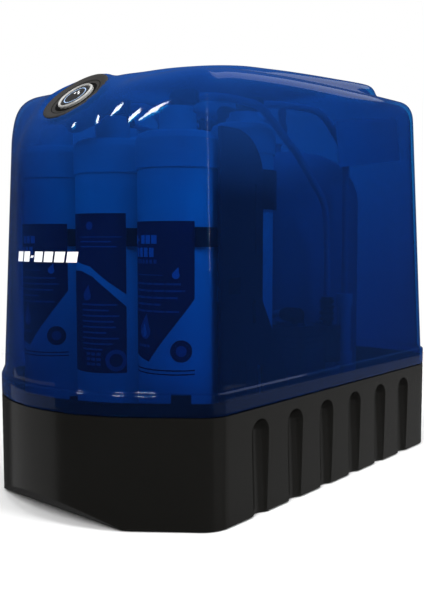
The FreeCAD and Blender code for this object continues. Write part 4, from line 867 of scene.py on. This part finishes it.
def toward(point, azimuth, elevation):
    """Where a lamp hangs that a point sees at an azimuth right of the front and an elevation."""
    turn, rise = math.radians(azimuth), math.radians(elevation)
    ahead = (math.cos(rise) * math.sin(turn), -math.cos(rise) * math.cos(turn), math.sin(rise))
    return Vector(point) + LAMP_DISTANCE * Vector(ahead)


def streak(name, point, start, end, width):
    """A lamp whose reflection shows as a streak on the hood at a point."""
    strip(name, toward(point, *start), toward(point, *end), width, 30.0)


def plain_stage():
    """A pale round floor in a pale surround that lights the object only a little."""
    material = plastic("studio floor", (0.72, 0.72, 0.72), rough=0.95, vary=0.01, relief=0.0)
    turns = [2 * math.pi * k / FLOOR_CORNERS for k in range(FLOOR_CORNERS)]
    rim = [(FLOOR_RADIUS * math.cos(turn), FLOOR_RADIUS * math.sin(turn), LOW[2]) for turn in turns]
    floor = add_mesh("floor", rim, [tuple(range(FLOOR_CORNERS))], material, None, smooth=False)
    floor.visible_glossy = False
    world = bpy.data.worlds.new("studio")
    world.use_nodes = True
    tree = world.node_tree
    background = tree.nodes["Background"]
    background.inputs["Color"].default_value = (1, 1, 1, 1)
    path = tree.nodes.new("ShaderNodeLightPath")
    level = spread(tree, path.outputs["Is Camera Ray"], SURROUND, BACKDROP)
    tree.links.new(level, background.inputs["Strength"])
    bpy.context.scene.world = world


plain_stage()
softbox("top softbox", (0.1, 0.1, 1.9), 1.4, 34.0)
softbox("front softbox", (0.7, -1.7, 1.7), 1.0, 54.0)
softbox("left softbox", (-1.7, -0.9, 1.5), 1.0, 16.0)
softbox("right softbox", (1.9, 0.4, 1.5), 1.0, 46.0)
streak("streak lamp 1", (0.063, -0.174, 0.314), (-33, 45), (-42, 49), 0.10)
streak("streak lamp 2", (0.076, -0.171, 0.310), (17, 25), (10.5, 32), 0.16)
streak("streak lamp 3", (0.091, -0.160, 0.313), (28.6, 16), (28, 22), 0.08)
strip("edge lamp", (1.825, -0.57, 0.95), (1.825, -0.60, 0.30), 0.03, 8.0)
strip("crest lamp", (0.22, 0.85, 1.906), (0.22, 1.54, 1.19), 0.8, 0.8, (0.115, -0.05, 0.347))
strip("low left panel", (-1.9, -0.3, -0.42), (-0.9, -1.7, -0.42), 0.6, 0.24, (0.0, -0.1, 0.05))
strip("low side panel", (1.9, -0.6, -0.42), (1.9, 0.8, -0.42), 0.6, 0.10, (0.1, 0.0, 0.05))
strip("low right panel", (0.4, 1.9, -0.42), (1.8, 0.9, -0.42), 0.6, 0.22, (0.1, 0.0, 0.05))
bpy.context.scene.view_settings.view_transform = "Standard"


# ------------------------------------------------------------------ camera
CAMERA_PLACE = (0.4914, -0.5680, 0.2165)
CAMERA_AZIMUTH = 40.712
CAMERA_PITCH = 4.377

camera_data = bpy.data.cameras.new("camera")
camera_data.sensor_fit = "VERTICAL"
camera_data.sensor_height = 36.0
camera_data.lens = 46.194
camera = bpy.data.objects.new("camera", camera_data)
camera.location = CAMERA_PLACE
camera.rotation_euler = (math.radians(90 - CAMERA_PITCH), 0, math.radians(CAMERA_AZIMUTH))
bpy.context.scene.collection.objects.link(camera)
bpy.context.scene.camera = camera
